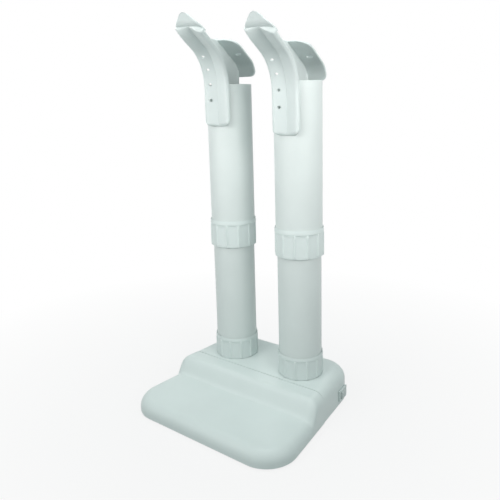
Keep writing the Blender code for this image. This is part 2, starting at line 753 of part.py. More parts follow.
def motor_screws():
    """Small screws through the bottom plate and the motor's ears."""
    ear_top = FLOOR_Z + MOTOR_EAR_THICK
    head_r = 2.0 * MOTOR_SCREW_R
    screw = turned("screw", [
        (0.0, ear_top + GAP + MOTOR_SCREW_R),
        (head_r, ear_top + GAP + MOTOR_SCREW_R),
        (head_r, ear_top + GAP),
        (MOTOR_SCREW_R, ear_top + GAP),
        (MOTOR_SCREW_R, PAN_Z),
        (0.0, PAN_Z),
    ], (0.0, 0.0, 0.0), 8)
    spots = [ear @ Matrix.Translation((MOTOR_EAR_REACH, 0.0, 0.0)) for ear in MOTOR_EARS]
    scatter("motor_screw", screw, spots, METAL, 0.35, 1.0)


def fan_wheel():
    """A wheel of curved blades that hang from a disc, round the motor."""
    disc_low = FLOOR_Z + MOTOR_HEIGHT + FAN_RISE
    disc_high = disc_low + FAN_DISC_THICK
    hub_low = FLOOR_Z + MOTOR_HEIGHT + 2.0 * GAP
    wheel = turned("fan_wheel", [
        (FAN_HUB_R, hub_low + FAN_HUB_HEIGHT),
        (FAN_HUB_R, disc_high),
        (FAN_R, disc_high),
        (FAN_R, disc_low),
        (FAN_HUB_R, disc_low),
        (FAN_HUB_R, hub_low),
        (SHAFT_R + GAP, hub_low),
        (SHAFT_R + GAP, hub_low + FAN_HUB_HEIGHT),
    ], (0.0, 0.0, 0.0), 24)
    chord = FAN_R - GAP - FAN_INNER_R
    curve_r = chord / 2.0 / math.sin(FAN_BLADE_CURVE)
    blade_low = disc_high - FAN_BLADE_HEIGHT
    outer = []
    inner = []
    for i in range(4):
        angle = FAN_BLADE_CURVE * (2.0 * i / 3.0 - 1.0)
        for line, thick in ((outer, FAN_BLADE_THICK / 2.0), (inner, -FAN_BLADE_THICK / 2.0)):
            line.append((FAN_INNER_R + chord / 2.0 + curve_r * math.sin(angle),
                         (curve_r + thick) * math.cos(angle) - curve_r))
    blade = prism("blade", [outer + inner[::-1]], blade_low, disc_low + FAN_DISC_THICK / 2.0)
    join(wheel, copies("blades", blade, around(FAN_BLADES)))
    join(wheel, ring("fan_ring", FAN_R, FAN_R - FAN_RING_WALL, blade_low, blade_low + FAN_DISC_THICK,
                     (0.0, 0.0, 0.0), 24))
    wheel.location = (0.0, TUBE_Y, 0.0)
    for step in wheel.modifiers:
        if step.type == "BOOLEAN":
            step.object.parent = wheel
    return finish(wheel, DARK, 0.5)


def heater(side):
    """A finned heater block on four short legs, under one tube."""
    x = math.copysign(FAN_R + HEATER_TO_FAN + HEATER_LENGTH / 2.0, TUBE_X[side])
    low = FLOOR_Z + HEATER_LEGS
    block = box(side + "_heater", (x - HEATER_LENGTH / 2.0, TUBE_Y - HEATER_CORE / 2.0, low),
                (x + HEATER_LENGTH / 2.0, TUBE_Y + HEATER_CORE / 2.0, low + HEATER_HEIGHT))
    fin = box("fin", (-HEATER_FIN_THICK / 2.0, -HEATER_WIDTH / 2.0, low - HEATER_FIN_THICK),
              (HEATER_FIN_THICK / 2.0, HEATER_WIDTH / 2.0, low + HEATER_HEIGHT + HEATER_FIN_THICK))
    reach = (HEATER_LENGTH - 2.0 * HEATER_FIN_THICK) / 2.0
    spots = [x - reach + 2.0 * reach * i / (HEATER_FINS - 1) for i in range(HEATER_FINS)]
    join(block, copies("fins_" + side, fin, [Matrix.Translation((spot, TUBE_Y, 0.0)) for spot in spots]))
    leg = box("leg", (-HEATER_FIN_THICK, -HEATER_CORE, FLOOR_Z),
              (HEATER_FIN_THICK, HEATER_CORE, low + HEATER_CORE))
    ends = [Matrix.Translation((spot, TUBE_Y, 0.0)) for spot in (spots[0], spots[-1])]
    join(block, copies("legs_" + side, leg, ends))
    return finish(block, METAL, 0.45, 0.9)


# Electrics
def thermal_cutout():
    """A disc thermostat on the bottom plate behind the duct."""
    spot = (CUTOUT_X, REAR_Y - CUTOUT_FROM_REAR, FLOOR_Z)
    disc = turned("thermal_cutout", [
        (0.0, CUTOUT_HEIGHT),
        (CUTOUT_R - CUTOUT_EDGE, CUTOUT_HEIGHT),
        (CUTOUT_R, CUTOUT_HEIGHT - CUTOUT_EDGE),
        (CUTOUT_R, 0.0),
        (0.0, 0.0),
    ], spot, 20)
    for i, shift in enumerate((-CUTOUT_R / 2.0, CUTOUT_R / 2.0)):
        x = spot[0] + shift
        low = (x - TAB_THICK / 2.0, spot[1] - TAB_WIDTH / 2.0, FLOOR_Z + CUTOUT_HEIGHT / 2.0)
        high = (x + TAB_THICK / 2.0, spot[1] + TAB_WIDTH / 2.0, FLOOR_Z + CUTOUT_HEIGHT + TAB_RISE)
        join(disc, box("tab_%d" % i, low, high))
    return finish(disc, METAL, 0.4, 0.7)


def terminal_block():
    """A two pole terminal block near the cord inlet."""
    length, width, height = TERMINAL_SIZE
    x = TERMINAL_X
    y = REAR_Y - TERMINAL_FROM_REAR
    block = box("terminal_block", (x - length / 2.0, y - width / 2.0, FLOOR_Z),
                (x + length / 2.0, y + width / 2.0, FLOOR_Z + height))
    bore = rod("pole", width / 4.0, (0.0, 0.0, FLOOR_Z + height / 3.0),
               (0.0, 0.0, FLOOR_Z + 2.0 * height), 12)
    spots = [Matrix.Translation((x + sx * length / 4.0, y, 0.0)) for sx in (-1, 1)]
    return finish(cut(block, copies("poles", bore, spots)), PLASTIC, 0.5)


def cord_bushing():
    """The rubber bushing of the cord's inlet, lipped on both sides of the rear wall."""
    outside = REAR_Y - TRAY_PROUD
    lip_r = BUSHING_R + BUSHING_LIP
    inside = -SHELL_WALL - GAP
    sleeve = turned("cord_bushing", [
        (lip_r - GAP, BUSHING_LIP),
        (lip_r, GAP),
        (BUSHING_R, GAP),
        (BUSHING_R, inside),
        (lip_r, inside),
        (BUSHING_R, inside - BUSHING_LIP),
        (BUSHING_BORE_R, inside - BUSHING_LIP),
        (BUSHING_BORE_R, BUSHING_LIP),
    ], (BUSHING_X, outside, BUSHING_Z), 12)
    sleeve.rotation_euler = (-math.pi / 2.0, 0.0, 0.0)
    return finish(sleeve, DARK, 0.7)


def switch_bezel():
    """The switch's body and flange, with a pocket for the rocker and its pivot."""
    half_length = SWITCH_LENGTH / 2.0
    half_height = SWITCH_HEIGHT / 2.0
    outline = rounded([
        (-half_length, -half_height, SWITCH_BORDER),
        (half_length, -half_height, SWITCH_BORDER),
        (half_length, half_height, SWITCH_BORDER),
        (-half_length, half_height, SWITCH_BORDER),
    ], 4)
    bezel = prism("switch_bezel", [outline], GAP, GAP + SWITCH_FLANGE, "X")
    body_length = half_length - SWITCH_BORDER
    body_height = half_height - SWITCH_BORDER
    body = box("switch_body", (GAP - SWITCH_DEPTH, -body_length, -body_height),
               (2.0 * GAP, body_length, body_height))
    pocket_length = half_length - ROCKER_MARGIN
    pocket_height = half_height - ROCKER_MARGIN
    pocket = box("rocker_pocket", (-SWITCH_POCKET, -pocket_length, -pocket_height),
                 (SWITCH_POCKET, pocket_length, pocket_height))
    pin_reach = pocket_height + ROCKER_PIN_REACH
    pin_hole = rod("rocker_pin_hole", ROCKER_PIN_R + GAP, (-ROCKER_AXIS_DEPTH, 0.0, -pin_reach),
                   (-ROCKER_AXIS_DEPTH, 0.0, pin_reach), 10)
    join(bezel, body)
    cut(bezel, pocket, pin_hole)
    tools = [step.object for step in bezel.modifiers]
    for obj in [bezel] + tools:
        obj.matrix_world = switch_frame()
    return finish(bezel, PLASTIC, 0.4)


def switch_rocker():
    """The rocker: two slopes that meet over its pivot, tilted to its off side."""
    face = ROCKER_AXIS_DEPTH + SWITCH_FLANGE
    swing = (face + ROCKER_RISE) * math.sin(ROCKER_TILT)
    half_length = SWITCH_LENGTH / 2.0 - ROCKER_MARGIN - swing - GAP
    half_height = SWITCH_HEIGHT / 2.0 - ROCKER_MARGIN - GAP
    outline = rounded([
        (face + ROCKER_RISE, -half_length, ROCKER_EDGE_R),
        (face, 0.0, 0.0),
        (face + ROCKER_RISE, half_length, ROCKER_EDGE_R),
        (0.0, half_length, ROCKER_EDGE_R),
        (-ROCKER_AXIS_DEPTH, 0.0, ROCKER_EDGE_R),
        (0.0, -half_length, ROCKER_EDGE_R),
    ], 3)
    rocker = prism("switch_rocker", [outline], -half_height, half_height)
    reach = half_height + ROCKER_PIN_REACH
    pin = rod("rocker_pin", ROCKER_PIN_R, (0.0, 0.0, -reach), (0.0, 0.0, reach), 10)
    join(rocker, pin)
    pivot = bpy.data.objects.new("rocker_pivot", None)
    PARTS.objects.link(pivot)
    pivot.matrix_world = switch_frame() @ Matrix.Translation((-ROCKER_AXIS_DEPTH, 0.0, 0.0))
    for obj in (rocker, pin):
        obj.parent = pivot
        obj.rotation_euler = (0.0, 0.0, ROCKER_TILT)
    return finish(rocker, PLASTIC, 0.35)


# Tubes and collars
def lower_tube(side):
    """The fixed tube that stands in the housing's socket."""
    inner = LOWER_TUBE_R - LOWER_TUBE_WALL
    centre = (TUBE_X[side], TUBE_Y, 0.0)
    tube = ring(side + "_lower_tube", LOWER_TUBE_R, inner, SOCKET_FLOOR + GAP, LOWER_TUBE_TOP, centre, 40)
    return finish(tube, TUBE_PLASTIC, 0.35)


def upper_tube(side):
    """The wider tube that slides over the lower one."""
    centre = (TUBE_X[side], TUBE_Y, 0.0)
    tube = ring(side + "_upper_tube", UPPER_TUBE_R, UPPER_BORE_R, UPPER_TUBE_FOOT, UPPER_TUBE_TOP,
                centre, 40)
    return finish(tube, TUBE_PLASTIC, 0.35)


def ribbed_collar(name, side, outer, bore, low, height, cone, rib_start):
    """A ring with upright grip ribs under a smooth rim and a cone up to the tube."""
    core = outer - RIB_HEIGHT
    rim = low + height
    centre = (TUBE_X[side], TUBE_Y, 0.0)
    collar = turned(name, [
        (bore + GAP, rim + cone),
        (outer - GAP, rim),
        (outer - GAP, rim - COLLAR_RIM_BAND),
        (core, rim - COLLAR_RIM_BAND - RIB_HEIGHT),
        (core, low),
        (bore, low),
        (bore, rim + cone),
    ], centre, 24)
    rib = box("rib", (bore + GAP, -RIB_WIDTH / 2.0, low),
              (outer, RIB_WIDTH / 2.0, rim - COLLAR_RIM_BAND / 2.0))
    join(collar, copies(name + "_ribs", rib, around(COLLAR_RIBS, centre, rib_start)))
    return finish(collar, PLASTIC, 0.4)


def base_collar(side):
    """The twist ring that holds the lower tube to the base."""
    return ribbed_collar(side + "_base_collar", side, BASE_COLLAR_R, LOWER_TUBE_R + GAP,
                         HOUSING_TOP + GAP, BASE_COLLAR_HEIGHT, BASE_COLLAR_CONE, BASE_RIB_START)


def lock_collar(side):
    """The twist ring at the upper tube's foot, which squeezes the clamp ring."""
    return ribbed_collar(side + "_lock_collar", side, LOCK_COLLAR_R, UPPER_TUBE_R + GAP,
                         LOCK_COLLAR_Z, LOCK_COLLAR_HEIGHT, LOCK_COLLAR_CONE, LOCK_RIB_START)


def clamp_ring(side):
    """The split ring under the upper tube's foot."""
    x = TUBE_X[side]
    clamp = ring(side + "_clamp_ring", UPPER_TUBE_R, UPPER_BORE_R, CLAMP_Z, CLAMP_Z + CLAMP_HEIGHT,
                 (x, TUBE_Y, 0.0), 24)
    split = box("split_" + side, (x - CLAMP_SPLIT / 2.0, TUBE_Y, 0.0),
                (x + CLAMP_SPLIT / 2.0, TUBE_Y + 2.0 * UPPER_TUBE_R, LOWER_TUBE_TOP))
    return finish(cut(clamp, split), DARK, 0.6)


# Toe guide, in a frame with its axis at the origin and its seat at zero height
def strip_point(run, x, depth):
    """A point on the strip: run is the distance along it from the start of its bend, x is across,
    and depth is how far it lies in front of the crease."""
    arc = BEND_R * BEND_ANGLE
    angle = min(max(run / BEND_R, 0.0), BEND_ANGLE)
    along = run if run < 0.0 else max(run - arc, 0.0)
    reach = BEND_R - depth
    y = -BEND_CENTRE_D + reach * math.cos(angle) - along * math.sin(angle)
    z = BEND_START + reach * math.sin(angle) + along * math.cos(angle)
    return Vector((x, y, z))


def pad_height(x):
    """How far a pad lies in front of the crease at a distance from it.

    A parabola up to the crest, then a shallower one down to the outer edge.
    """
    if x < PAD_CREST:
        return PAD_RISE * (1.0 - (1.0 - x / PAD_CREST) ** 2)
    return PAD_RISE - PAD_EDGE_DROP * ((x - PAD_CREST) / (STRIP_HALF_WIDTH - PAD_CREST)) ** 2


def strip_profile(back):
    """Cross-section of the strip as (x, depth): two pads that meet in a sharp crease.

    back gives the depth of the rear face behind a place on the front.
    """
    half = STRIP_HALF_WIDTH
    front = [PAD_CREST / 3.0, 2.0 * PAD_CREST / 3.0, PAD_CREST, (PAD_CREST + half) / 2.0, half]
    rear = [half, PAD_CREST, PAD_CREST / 2.0]
    right = [(x, pad_height(x)) for x in front] + [(x, back(x)) for x in rear]
    left = [(-x, depth) for x, depth in reversed(right)]
    return [(0.0, 0.0)] + right + [(0.0, -STRIP_THICK)] + left


def hollow_back(x):
    """Rear face of the pads' thin wall."""
    return pad_height(x) - PAD_WALL


def flat_back(x):
    """Rear face of the walls that close the pads' ends."""
    return -STRIP_THICK


def strip_ahead(run, angle=BEND_ANGLE):
    """A straight run along the strip past its bend."""
    return Vector((0.0, -math.sin(angle), math.cos(angle))) * run


def pad_end_cut():
    """What lies beyond the pads' arched upper end."""
    half = STRIP_HALF_WIDTH + GAP
    arch = [(half * i / 3.0, -PAD_ARCH * (i / 3.0) ** 2) for i in range(-3, 4)]
    tool = prism("pad_end_cut", [arch + [(half, PAD_RUN), (-half, PAD_RUN)]], -PAD_RUN, PAD_RUN)
    turn = Matrix.Rotation(math.pi / 2.0 + BEND_ANGLE, 4, "X")
    tool.matrix_world = Matrix.Translation(strip_point(PAD_END, 0.0, 0.0)) @ turn
    return tool


def pad_walls():
    """The two pads along the whole strip, and the walls that close their ends."""
    foot = BEND_START + STRIP_FOOT
    loop = [strip_point(-foot, x, depth) for x, depth in strip_profile(hollow_back)]
    centre = (0.0, -BEND_CENTRE_D, BEND_START)
    upright = Vector((0.0, 0.0, foot))
    pads = swept("pads", loop, [upright, (centre, BEND_ANGLE, 8), strip_ahead(PAD_RUN)])
    foot_wall = [strip_point(-foot, x, depth) for x, depth in strip_profile(flat_back)]
    join(pads, swept("foot_wall", foot_wall, [Vector((0.0, 0.0, PAD_END_WALL))]))
    top_length = PAD_ARCH + PAD_END_WALL
    top_wall = [strip_point(PAD_END - top_length, x, depth) for x, depth in strip_profile(flat_back)]
    join(pads, swept("top_wall", top_wall, [strip_ahead(top_length)]))
    return cut(pads, pad_end_cut())


def curl_centre():
    """Middle of the tongue's curl, which starts just past the pads' upper end."""
    return strip_point(PAD_END + TONGUE_LEAD, 0.0, -CURL_R)


def guide_tongue():
    """The thin tongue under the pads' upper end, which curls up past them."""
    half = STRIP_HALF_WIDTH
    low = -TONGUE_SINK - TONGUE_THICK
    corners = [(-half, -TONGUE_SINK), (half, -TONGUE_SINK), (half, low), (-half, low)]
    loop = [strip_point(PAD_END - TONGUE_ROOT, x, depth) for x, depth in corners]
    lead = strip_ahead(TONGUE_ROOT + TONGUE_LEAD)
    tail = strip_ahead(TONGUE_TAIL + TIP_R, BEND_ANGLE - CURL_ANGLE)
    return swept("tongue", loop, [lead, (curl_centre(), -CURL_ANGLE, 4), tail])


def guide_strip():
    """The front strip: up the tube's front, then bent forward, with a rounded foot and a pointed tip."""
    strip = join(pad_walls(), guide_tongue())
    half = STRIP_HALF_WIDTH + GAP
    shoulder = strip_point(PAD_END - SHOULDER_BACK, 0.0, 0.0).z
    tail_angle = BEND_ANGLE - CURL_ANGLE
    tip = curl_centre().z - CURL_R * math.sin(tail_angle) + TONGUE_TAIL * math.cos(tail_angle)
    outline = rounded([
        (-half, -STRIP_FOOT - GAP, STRIP_FOOT_R),
        (half, -STRIP_FOOT - GAP, STRIP_FOOT_R),
        (half, shoulder, SHOULDER_R),
        (TIP_HALF_WIDTH, tip, TIP_R),
        (-TIP_HALF_WIDTH, tip, TIP_R),
        (-half, shoulder, SHOULDER_R),
    ], 4)
    reach = BEND_CENTRE_D + BEND_R
    return boolean(strip, prism("strip_outline", [outline], -reach, reach, "Y"), "INTERSECT")


def saddle_path(steps=SADDLE_STEPS):
    """Middle line of the saddle from its rear foot, up and forward over the tube's mouth, as (y, z)."""
    foot = UPPER_TUBE_R - SADDLE_THICK / 2.0
    bend = math.pi / 2.0 - SADDLE_SLOPE
    line = []
    for i in range(steps + 1):
        angle = bend * i / steps
        line.append((foot - SADDLE_BEND_R * (1.0 - math.cos(angle)), SADDLE_BEND_R * math.sin(angle)))
    y, z = line[-1]
    line.append((y - SADDLE_RUN * math.cos(SADDLE_SLOPE), z + SADDLE_RUN * math.sin(SADDLE_SLOPE)))
    return line


def guide_saddle():
    """The sloping plate over the tube's mouth, which turns the air forward, with two slots."""
    half = SADDLE_HALF_WIDTH
    back = UPPER_TUBE_R
    front = UPPER_TUBE_R - SADDLE_THICK
    loop = [(-half, front, 0.0), (half, front, 0.0), (half, back, 0.0), (-half, back, 0.0)]
    centre = (0.0, UPPER_TUBE_R - SADDLE_THICK / 2.0 - SADDLE_BEND_R, 0.0)
    bend = math.pi / 2.0 - SADDLE_SLOPE
    run = Vector((0.0, -math.cos(SADDLE_SLOPE), math.sin(SADDLE_SLOPE))) * SADDLE_RUN
    saddle = swept("saddle", loop, [(centre, bend, SADDLE_STEPS), run])
    end_y, end_z = saddle_path()[-1]
    plan = rounded([
        (-half - GAP, end_y - SADDLE_THICK, SADDLE_FRONT_R),
        (half + GAP, end_y - SADDLE_THICK, SADDLE_FRONT_R),
        (half + GAP, back + SADDLE_THICK, 0.0),
        (-half - GAP, back + SADDLE_THICK, 0.0),
    ], 6)
    boolean(saddle, prism("saddle_plan", [plan], -end_z, 2.0 * end_z), "INTERSECT")
    front_view = rounded([
        (-half - GAP, -GAP, SADDLE_FOOT_R),
        (half + GAP, -GAP, SADDLE_FOOT_R),
        (half + GAP, 2.0 * end_z, 0.0),
        (-half - GAP, 2.0 * end_z, 0.0),
    ], 6)
    boolean(saddle, prism("saddle_front", [front_view], -2.0 * back, 2.0 * back, "Y"), "INTERSECT")
    reach = (SLOT_LENGTH - SLOT_WIDTH) / 2.0
    for sx in (-1, 1):
        low_x = sx * SLOT_OFFSET - reach - SLOT_WIDTH / 2.0
        high_x = low_x + SLOT_LENGTH
        round_r = SLOT_WIDTH / 2.0 - GAP / 2.0
        outline = rounded([
            (low_x, -SLOT_WIDTH / 2.0, round_r),
            (high_x, -SLOT_WIDTH / 2.0, round_r),
            (high_x, SLOT_WIDTH / 2.0, round_r),
            (low_x, SLOT_WIDTH / 2.0, round_r),
        ], 4)
        cut(saddle, prism("saddle_slot_%d" % sx, [outline], 0.0, 2.0 * end_z))
    return saddle


def guide_web():
    """The upright web from strip to saddle, whose lower part slides in the tube's bore."""
    inside = WEB_BITE - STRIP_THICK
    arc = BEND_R * BEND_ANGLE
    first = math.asin(-BEND_START / BEND_R)
    front = [strip_point(BEND_R * (first + (BEND_ANGLE - first) * i / 8.0), 0.0, inside) for i in range(9)]
    front.append(strip_point(arc + WEB_TOP_RUN, 0.0, inside))
    top = saddle_path()[::-1]
    outline = [(-PLUG_R, -PLUG_DEPTH), (-PLUG_R, 0.0)]
    outline += [(point.y, point.z) for point in front]
    outline += top[:-1]
    outline += [(PLUG_R - SADDLE_THICK / 2.0, 0.0), (PLUG_R - SADDLE_THICK / 2.0, -PLUG_DEPTH)]
    return prism("web", [outline], -WEB_THICK / 2.0, WEB_THICK / 2.0, "X")


def guide_vents():
    """Drills for the row of vents along the left pad."""
    drills = []
    for i in range(VENT_COUNT):
        run = VENT_START + VENT_PITCH * i
        start = strip_point(run, -VENT_OFFSET, -PAD_RISE)
        end = strip_point(run, -VENT_OFFSET, 2.0 * PAD_RISE)
        drills.append(rod("vent_%d" % i, VENT_R, start, end, 10))
    return drills


def toe_guide_mesh():
    """The whole toe guide as one moulded piece."""
    guide = guide_strip()
    fin = box("fin", (-PLUG_R, -WEB_THICK / 2.0, FIN_STEP - PLUG_DEPTH), (PLUG_R, WEB_THICK / 2.0, -FIN_TOP))
    bead_y = PLUG_R - BEAD_R
    bead_low = BEAD_STEP - PLUG_DEPTH
    bead = rod("bead", BEAD_R, (0.0, bead_y, bead_low), (0.0, bead_y, SADDLE_BEND_R / 2.0), 10)
    join(guide, guide_web(), guide_saddle(), fin, bead)
    cut(guide, *guide_vents())
    mesh = evaluated_mesh(guide)
    bpy.data.objects.remove(guide, do_unlink=True)
    return mesh


def toe_guides():
    """Both toe guides, each turned about its tube's axis."""
    mesh = toe_guide_mesh()
    for side, x in TUBE_X.items():
        axis = bpy.data.objects.new(side + "_tube_axis", None)
        PARTS.objects.link(axis)
        axis.location = (x, TUBE_Y, SEAT_Z[side])
        guide = place(side + "_toe_guide", mesh.copy())
        guide.parent = axis
        guide.rotation_euler = (0.0, 0.0, GUIDE_TURN[side])
        finish(guide, PLASTIC, 0.4)


front_tray()
rear_housing()
base_pan()
rubber_feet()
casing_screws()
air_duct()
fan_motor()
motor_screws()
fan_wheel()
thermal_cutout()
terminal_block()
cord_bushing()
switch_bezel()
switch_rocker()
for tube_side in TUBE_X:
    heater(tube_side)
    lower_tube(tube_side)
    base_collar(tube_side)
    upper_tube(tube_side)
    clamp_ring(tube_side)
    lock_collar(tube_side)
toe_guides()
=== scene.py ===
"""Looks of an electric boot dryer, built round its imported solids.

The moulded base, the tubes, the ribbed collars and the toe guides are smooth surfaces worked out on
grids. Metres, +Z up, front at -Y.
"""
import math

import bmesh
import bpy
import numpy as np
from mathutils import Matrix, Vector

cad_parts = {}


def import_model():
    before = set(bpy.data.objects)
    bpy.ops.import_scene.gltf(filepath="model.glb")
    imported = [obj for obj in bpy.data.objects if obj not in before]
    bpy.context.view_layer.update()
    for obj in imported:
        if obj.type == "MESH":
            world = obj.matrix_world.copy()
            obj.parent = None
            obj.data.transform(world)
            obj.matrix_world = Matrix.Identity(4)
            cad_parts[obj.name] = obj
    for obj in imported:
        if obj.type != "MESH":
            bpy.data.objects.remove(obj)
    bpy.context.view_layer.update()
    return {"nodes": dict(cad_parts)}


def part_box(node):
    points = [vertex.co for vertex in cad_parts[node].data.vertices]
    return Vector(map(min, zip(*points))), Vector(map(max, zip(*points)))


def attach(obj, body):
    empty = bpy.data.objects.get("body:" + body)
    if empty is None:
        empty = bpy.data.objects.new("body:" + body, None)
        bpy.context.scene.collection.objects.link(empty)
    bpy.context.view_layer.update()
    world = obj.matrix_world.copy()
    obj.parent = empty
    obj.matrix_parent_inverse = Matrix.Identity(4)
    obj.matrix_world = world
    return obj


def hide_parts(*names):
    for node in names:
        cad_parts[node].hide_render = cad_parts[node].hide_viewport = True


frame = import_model()

MM = 0.001
QUARTER = math.pi / 2.0
SIDES = ("left", "right")
GAP = 0.3 * MM

# Places that the solids give
TUBE_BOX = {side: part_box(side + "_lower_tube") for side in SIDES}
TUBE_X = {side: (TUBE_BOX[side][0][0] + TUBE_BOX[side][1][0]) / 2.0 for side in SIDES}
TUBE_Y = (TUBE_BOX["left"][0][1] + TUBE_BOX["left"][1][1]) / 2.0
FRONT_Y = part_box("front_tray")[0][1]
HOUSING_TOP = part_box("rear_housing")[1][2]
RIM_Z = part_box("front_tray")[0][2]

# Sizes of the base
BASE_DEPTH = 196.0 * MM
BASE_HALF_WIDTH = 112.0 * MM
BASE_TAPER = math.radians(5.38)
FRONT_CORNER_R = 36.0 * MM
REAR_CORNER_R = 34.0 * MM
EDGE_R = 13.0 * MM
SHELL_WALL = 2.2 * MM
SHELL_SOFT = 0.35 * MM
PLATFORM_TOP = 19.2 * MM
STEP_TOP_REACH = 51.5 * MM
STEP_FOOT_REACH = 62.5 * MM
STEP_TOP_R = 8.5 * MM
STEP_FOOT_R = 6.0 * MM
SEAM_REACH = 32.0 * MM
SEAM_GAP = 0.6 * MM
TRAY_PROUD = 0.8 * MM
TRAY_INSET = 0.2 * MM
REAR_Y = FRONT_Y + BASE_DEPTH
SEAM_Y = TUBE_Y - SEAM_REACH
SWITCH_OPENING = (20.0 * MM, 9.6 * MM, 6.35 * MM)
REAR_SLOTS = 7
REAR_SLOT_PITCH = 6.0 * MM
REAR_SLOT_Z = 17.0 * MM
REAR_SLOT_HALF = (1.3 * MM, 13.0 * MM, 6.0 * MM)
BUSHING_R = 6.3 * MM
BUSHING_REACH = 20.0 * MM

# Points on the base's grid: along an end, round a corner, along a side and over the edge
END_STEPS = 8
CORNER_STEPS = 18
SIDE_STEPS = 72
ROLL_STEPS = 12

# Sizes of the tubes and collars
LOWER_TUBE_R = 26.0 * MM
LOWER_TUBE_WALL = 1.5 * MM
UPPER_BORE_R = LOWER_TUBE_R + GAP
UPPER_TUBE_R = UPPER_BORE_R + 1.2 * MM
TUBE_LIP = 0.4 * MM
RIBS = 12
RIB_WIDTH = 2.2 * MM
RIB_HEIGHT = 0.9 * MM
RIB_FADE = 0.9 * MM
PANEL_SHARE = 0.45
RIM_BAND = 1.6 * MM
RIM_INSET = 0.4 * MM
CONE_LEDGE = 0.8 * MM
RIM_LEAD = 0.6 * MM
RIM_TURN = 0.3 * MM
COLLAR_LIP = 0.4 * MM
COLLAR_FOOT = 0.5 * MM
FOOT_FADE_START = 0.2 * MM
FOOT_FADE = 0.4 * MM
BORE_LIP = 0.3 * MM
BORE_MARGIN = 0.5 * MM

# Outer radius, bore, direction of the first rib and height of the cone
COLLARS = {
    "base_collar": (28.0 * MM, LOWER_TUBE_R + GAP, math.radians(18.6), 2.7 * MM),
    "lock_collar": (29.4 * MM, UPPER_TUBE_R + GAP, math.radians(21.4), 3.6 * MM),
}

# Sizes of the toe guides
GUIDE_TURN = {"left": math.radians(11.5), "right": math.radians(7.5)}
SEAT_Z = {"left": 396.8 * MM, "right": 387.3 * MM}
CREASE_D = UPPER_TUBE_R + 1.6 * MM
BEND_START = -14.0 * MM
BEND_R = 52.0 * MM
BEND_ANGLE = math.radians(62.0)
BEND_RUN = BEND_R * BEND_ANGLE
STRIP_THICK = 1.2 * MM
STRIP_FOOT = 58.5 * MM
STRIP_HALF = 16.2 * MM
STRIP_FOOT_R = 9.0 * MM
PAD_RISE = 4.8 * MM
PAD_POWER = 1.4
PAD_CREST = 13.2 * MM
PAD_EDGE_DROP = 2.4 * MM
PAD_WALL = 1.6 * MM
PAD_END_WALL = 2.0 * MM
PAD_HOLLOW_EASE = 0.6 * MM
PAD_ARCH = 4.5 * MM
PAD_ARCH_RUN = 20.0 * MM
PAD_RUN = 36.0 * MM
PAD_END = BEND_RUN + PAD_RUN
PAD_END_R = 2.2 * MM
PAD_END_BLUNT = 0.97
PAD_RUNOUT = 16.0 * MM
PAD_RUNOUT_BLUNT = 0.995
NOSE_R = 4.5 * MM
TONGUE_ROOT = 10.0 * MM
TONGUE_THICK = 2.0 * MM
TONGUE_SINK = 0.2 * MM
TONGUE_TAIL = 9.0 * MM
CURL_START = PAD_END + 0.6 * MM
CURL_R = 14.0 * MM
CURL_ANGLE = math.radians(32.0)
SHOULDER_BACK = 2.0 * MM
SHOULDER_SOFT = 1.0 * MM
TIP_HALF = 3.4 * MM
TIP_R = 3.4 * MM
VENT_COUNT = 4
VENT_R = 1.8 * MM
VENT_PITCH = 18.5 * MM
VENT_OFFSET = 7.5 * MM
VENT_DRILL = (-4.0 * MM, 8.0 * MM)
SADDLE_HALF = 24.5 * MM
SADDLE_THICK = 2.6 * MM
SADDLE_R = 22.0 * MM
SADDLE_SLOPE = math.radians(27.0)
SADDLE_BEND = QUARTER - SADDLE_SLOPE
SADDLE_RUN = 47.0 * MM
SADDLE_LENGTH = SADDLE_R * SADDLE_BEND + SADDLE_RUN
SADDLE_FOOT_R = 7.0 * MM
SADDLE_FRONT_R = 18.0 * MM
SLOT_OFFSET = 14.5 * MM
SLOT_R = 2.0 * MM
SLOT_DRILL = (0.0, 60.0 * MM)
WEB_THICK = 3.0 * MM
WEB_TOP_RUN = 20.0 * MM
WEB_LAP = 0.2 * MM
PLUG_R = UPPER_BORE_R - 0.7 * MM
PLUG_DEPTH = 45.0 * MM
WEB_REAR_R = PLUG_R - 1.3 * MM
FIN_TOP = 14.0 * MM
FIN_FOOT = PLUG_DEPTH - 2.0 * MM
BEAD_R = 2.5 * MM
BEAD_FOOT = PLUG_DEPTH - 1.0 * MM
BEAD_TOP = 8.5 * MM

# Turn at which a round end starts, a little off its point, so that no row shrinks to nothing
END_TURN = 0.02

# Camera
CAMERA_PLACE = (0.3797, -0.4829, 0.3661)
CAMERA_AZIMUTH = math.radians(37.36)
CAMERA_PITCH = math.radians(11.05)
CAMERA_ROLL = math.radians(1.58)
CAMERA_SENSOR = 36.0
CAMERA_LENS = 38.99
CAMERA_SHIFT = -0.085

# Floor and world, with the reach at which the floor's shade starts to fade and the reach where it is gone
FLOOR_HALF = 4.0
FLOOR_COLOUR = (0.6, 0.62, 0.62, 1.0)
FADE_START = 0.14
FADE_END = 0.55
WHITE_SHARE = 0.84
WORLD_COLOUR = (0.84, 1.0, 1.0, 1.0)
WORLD_STRENGTH = 0.3

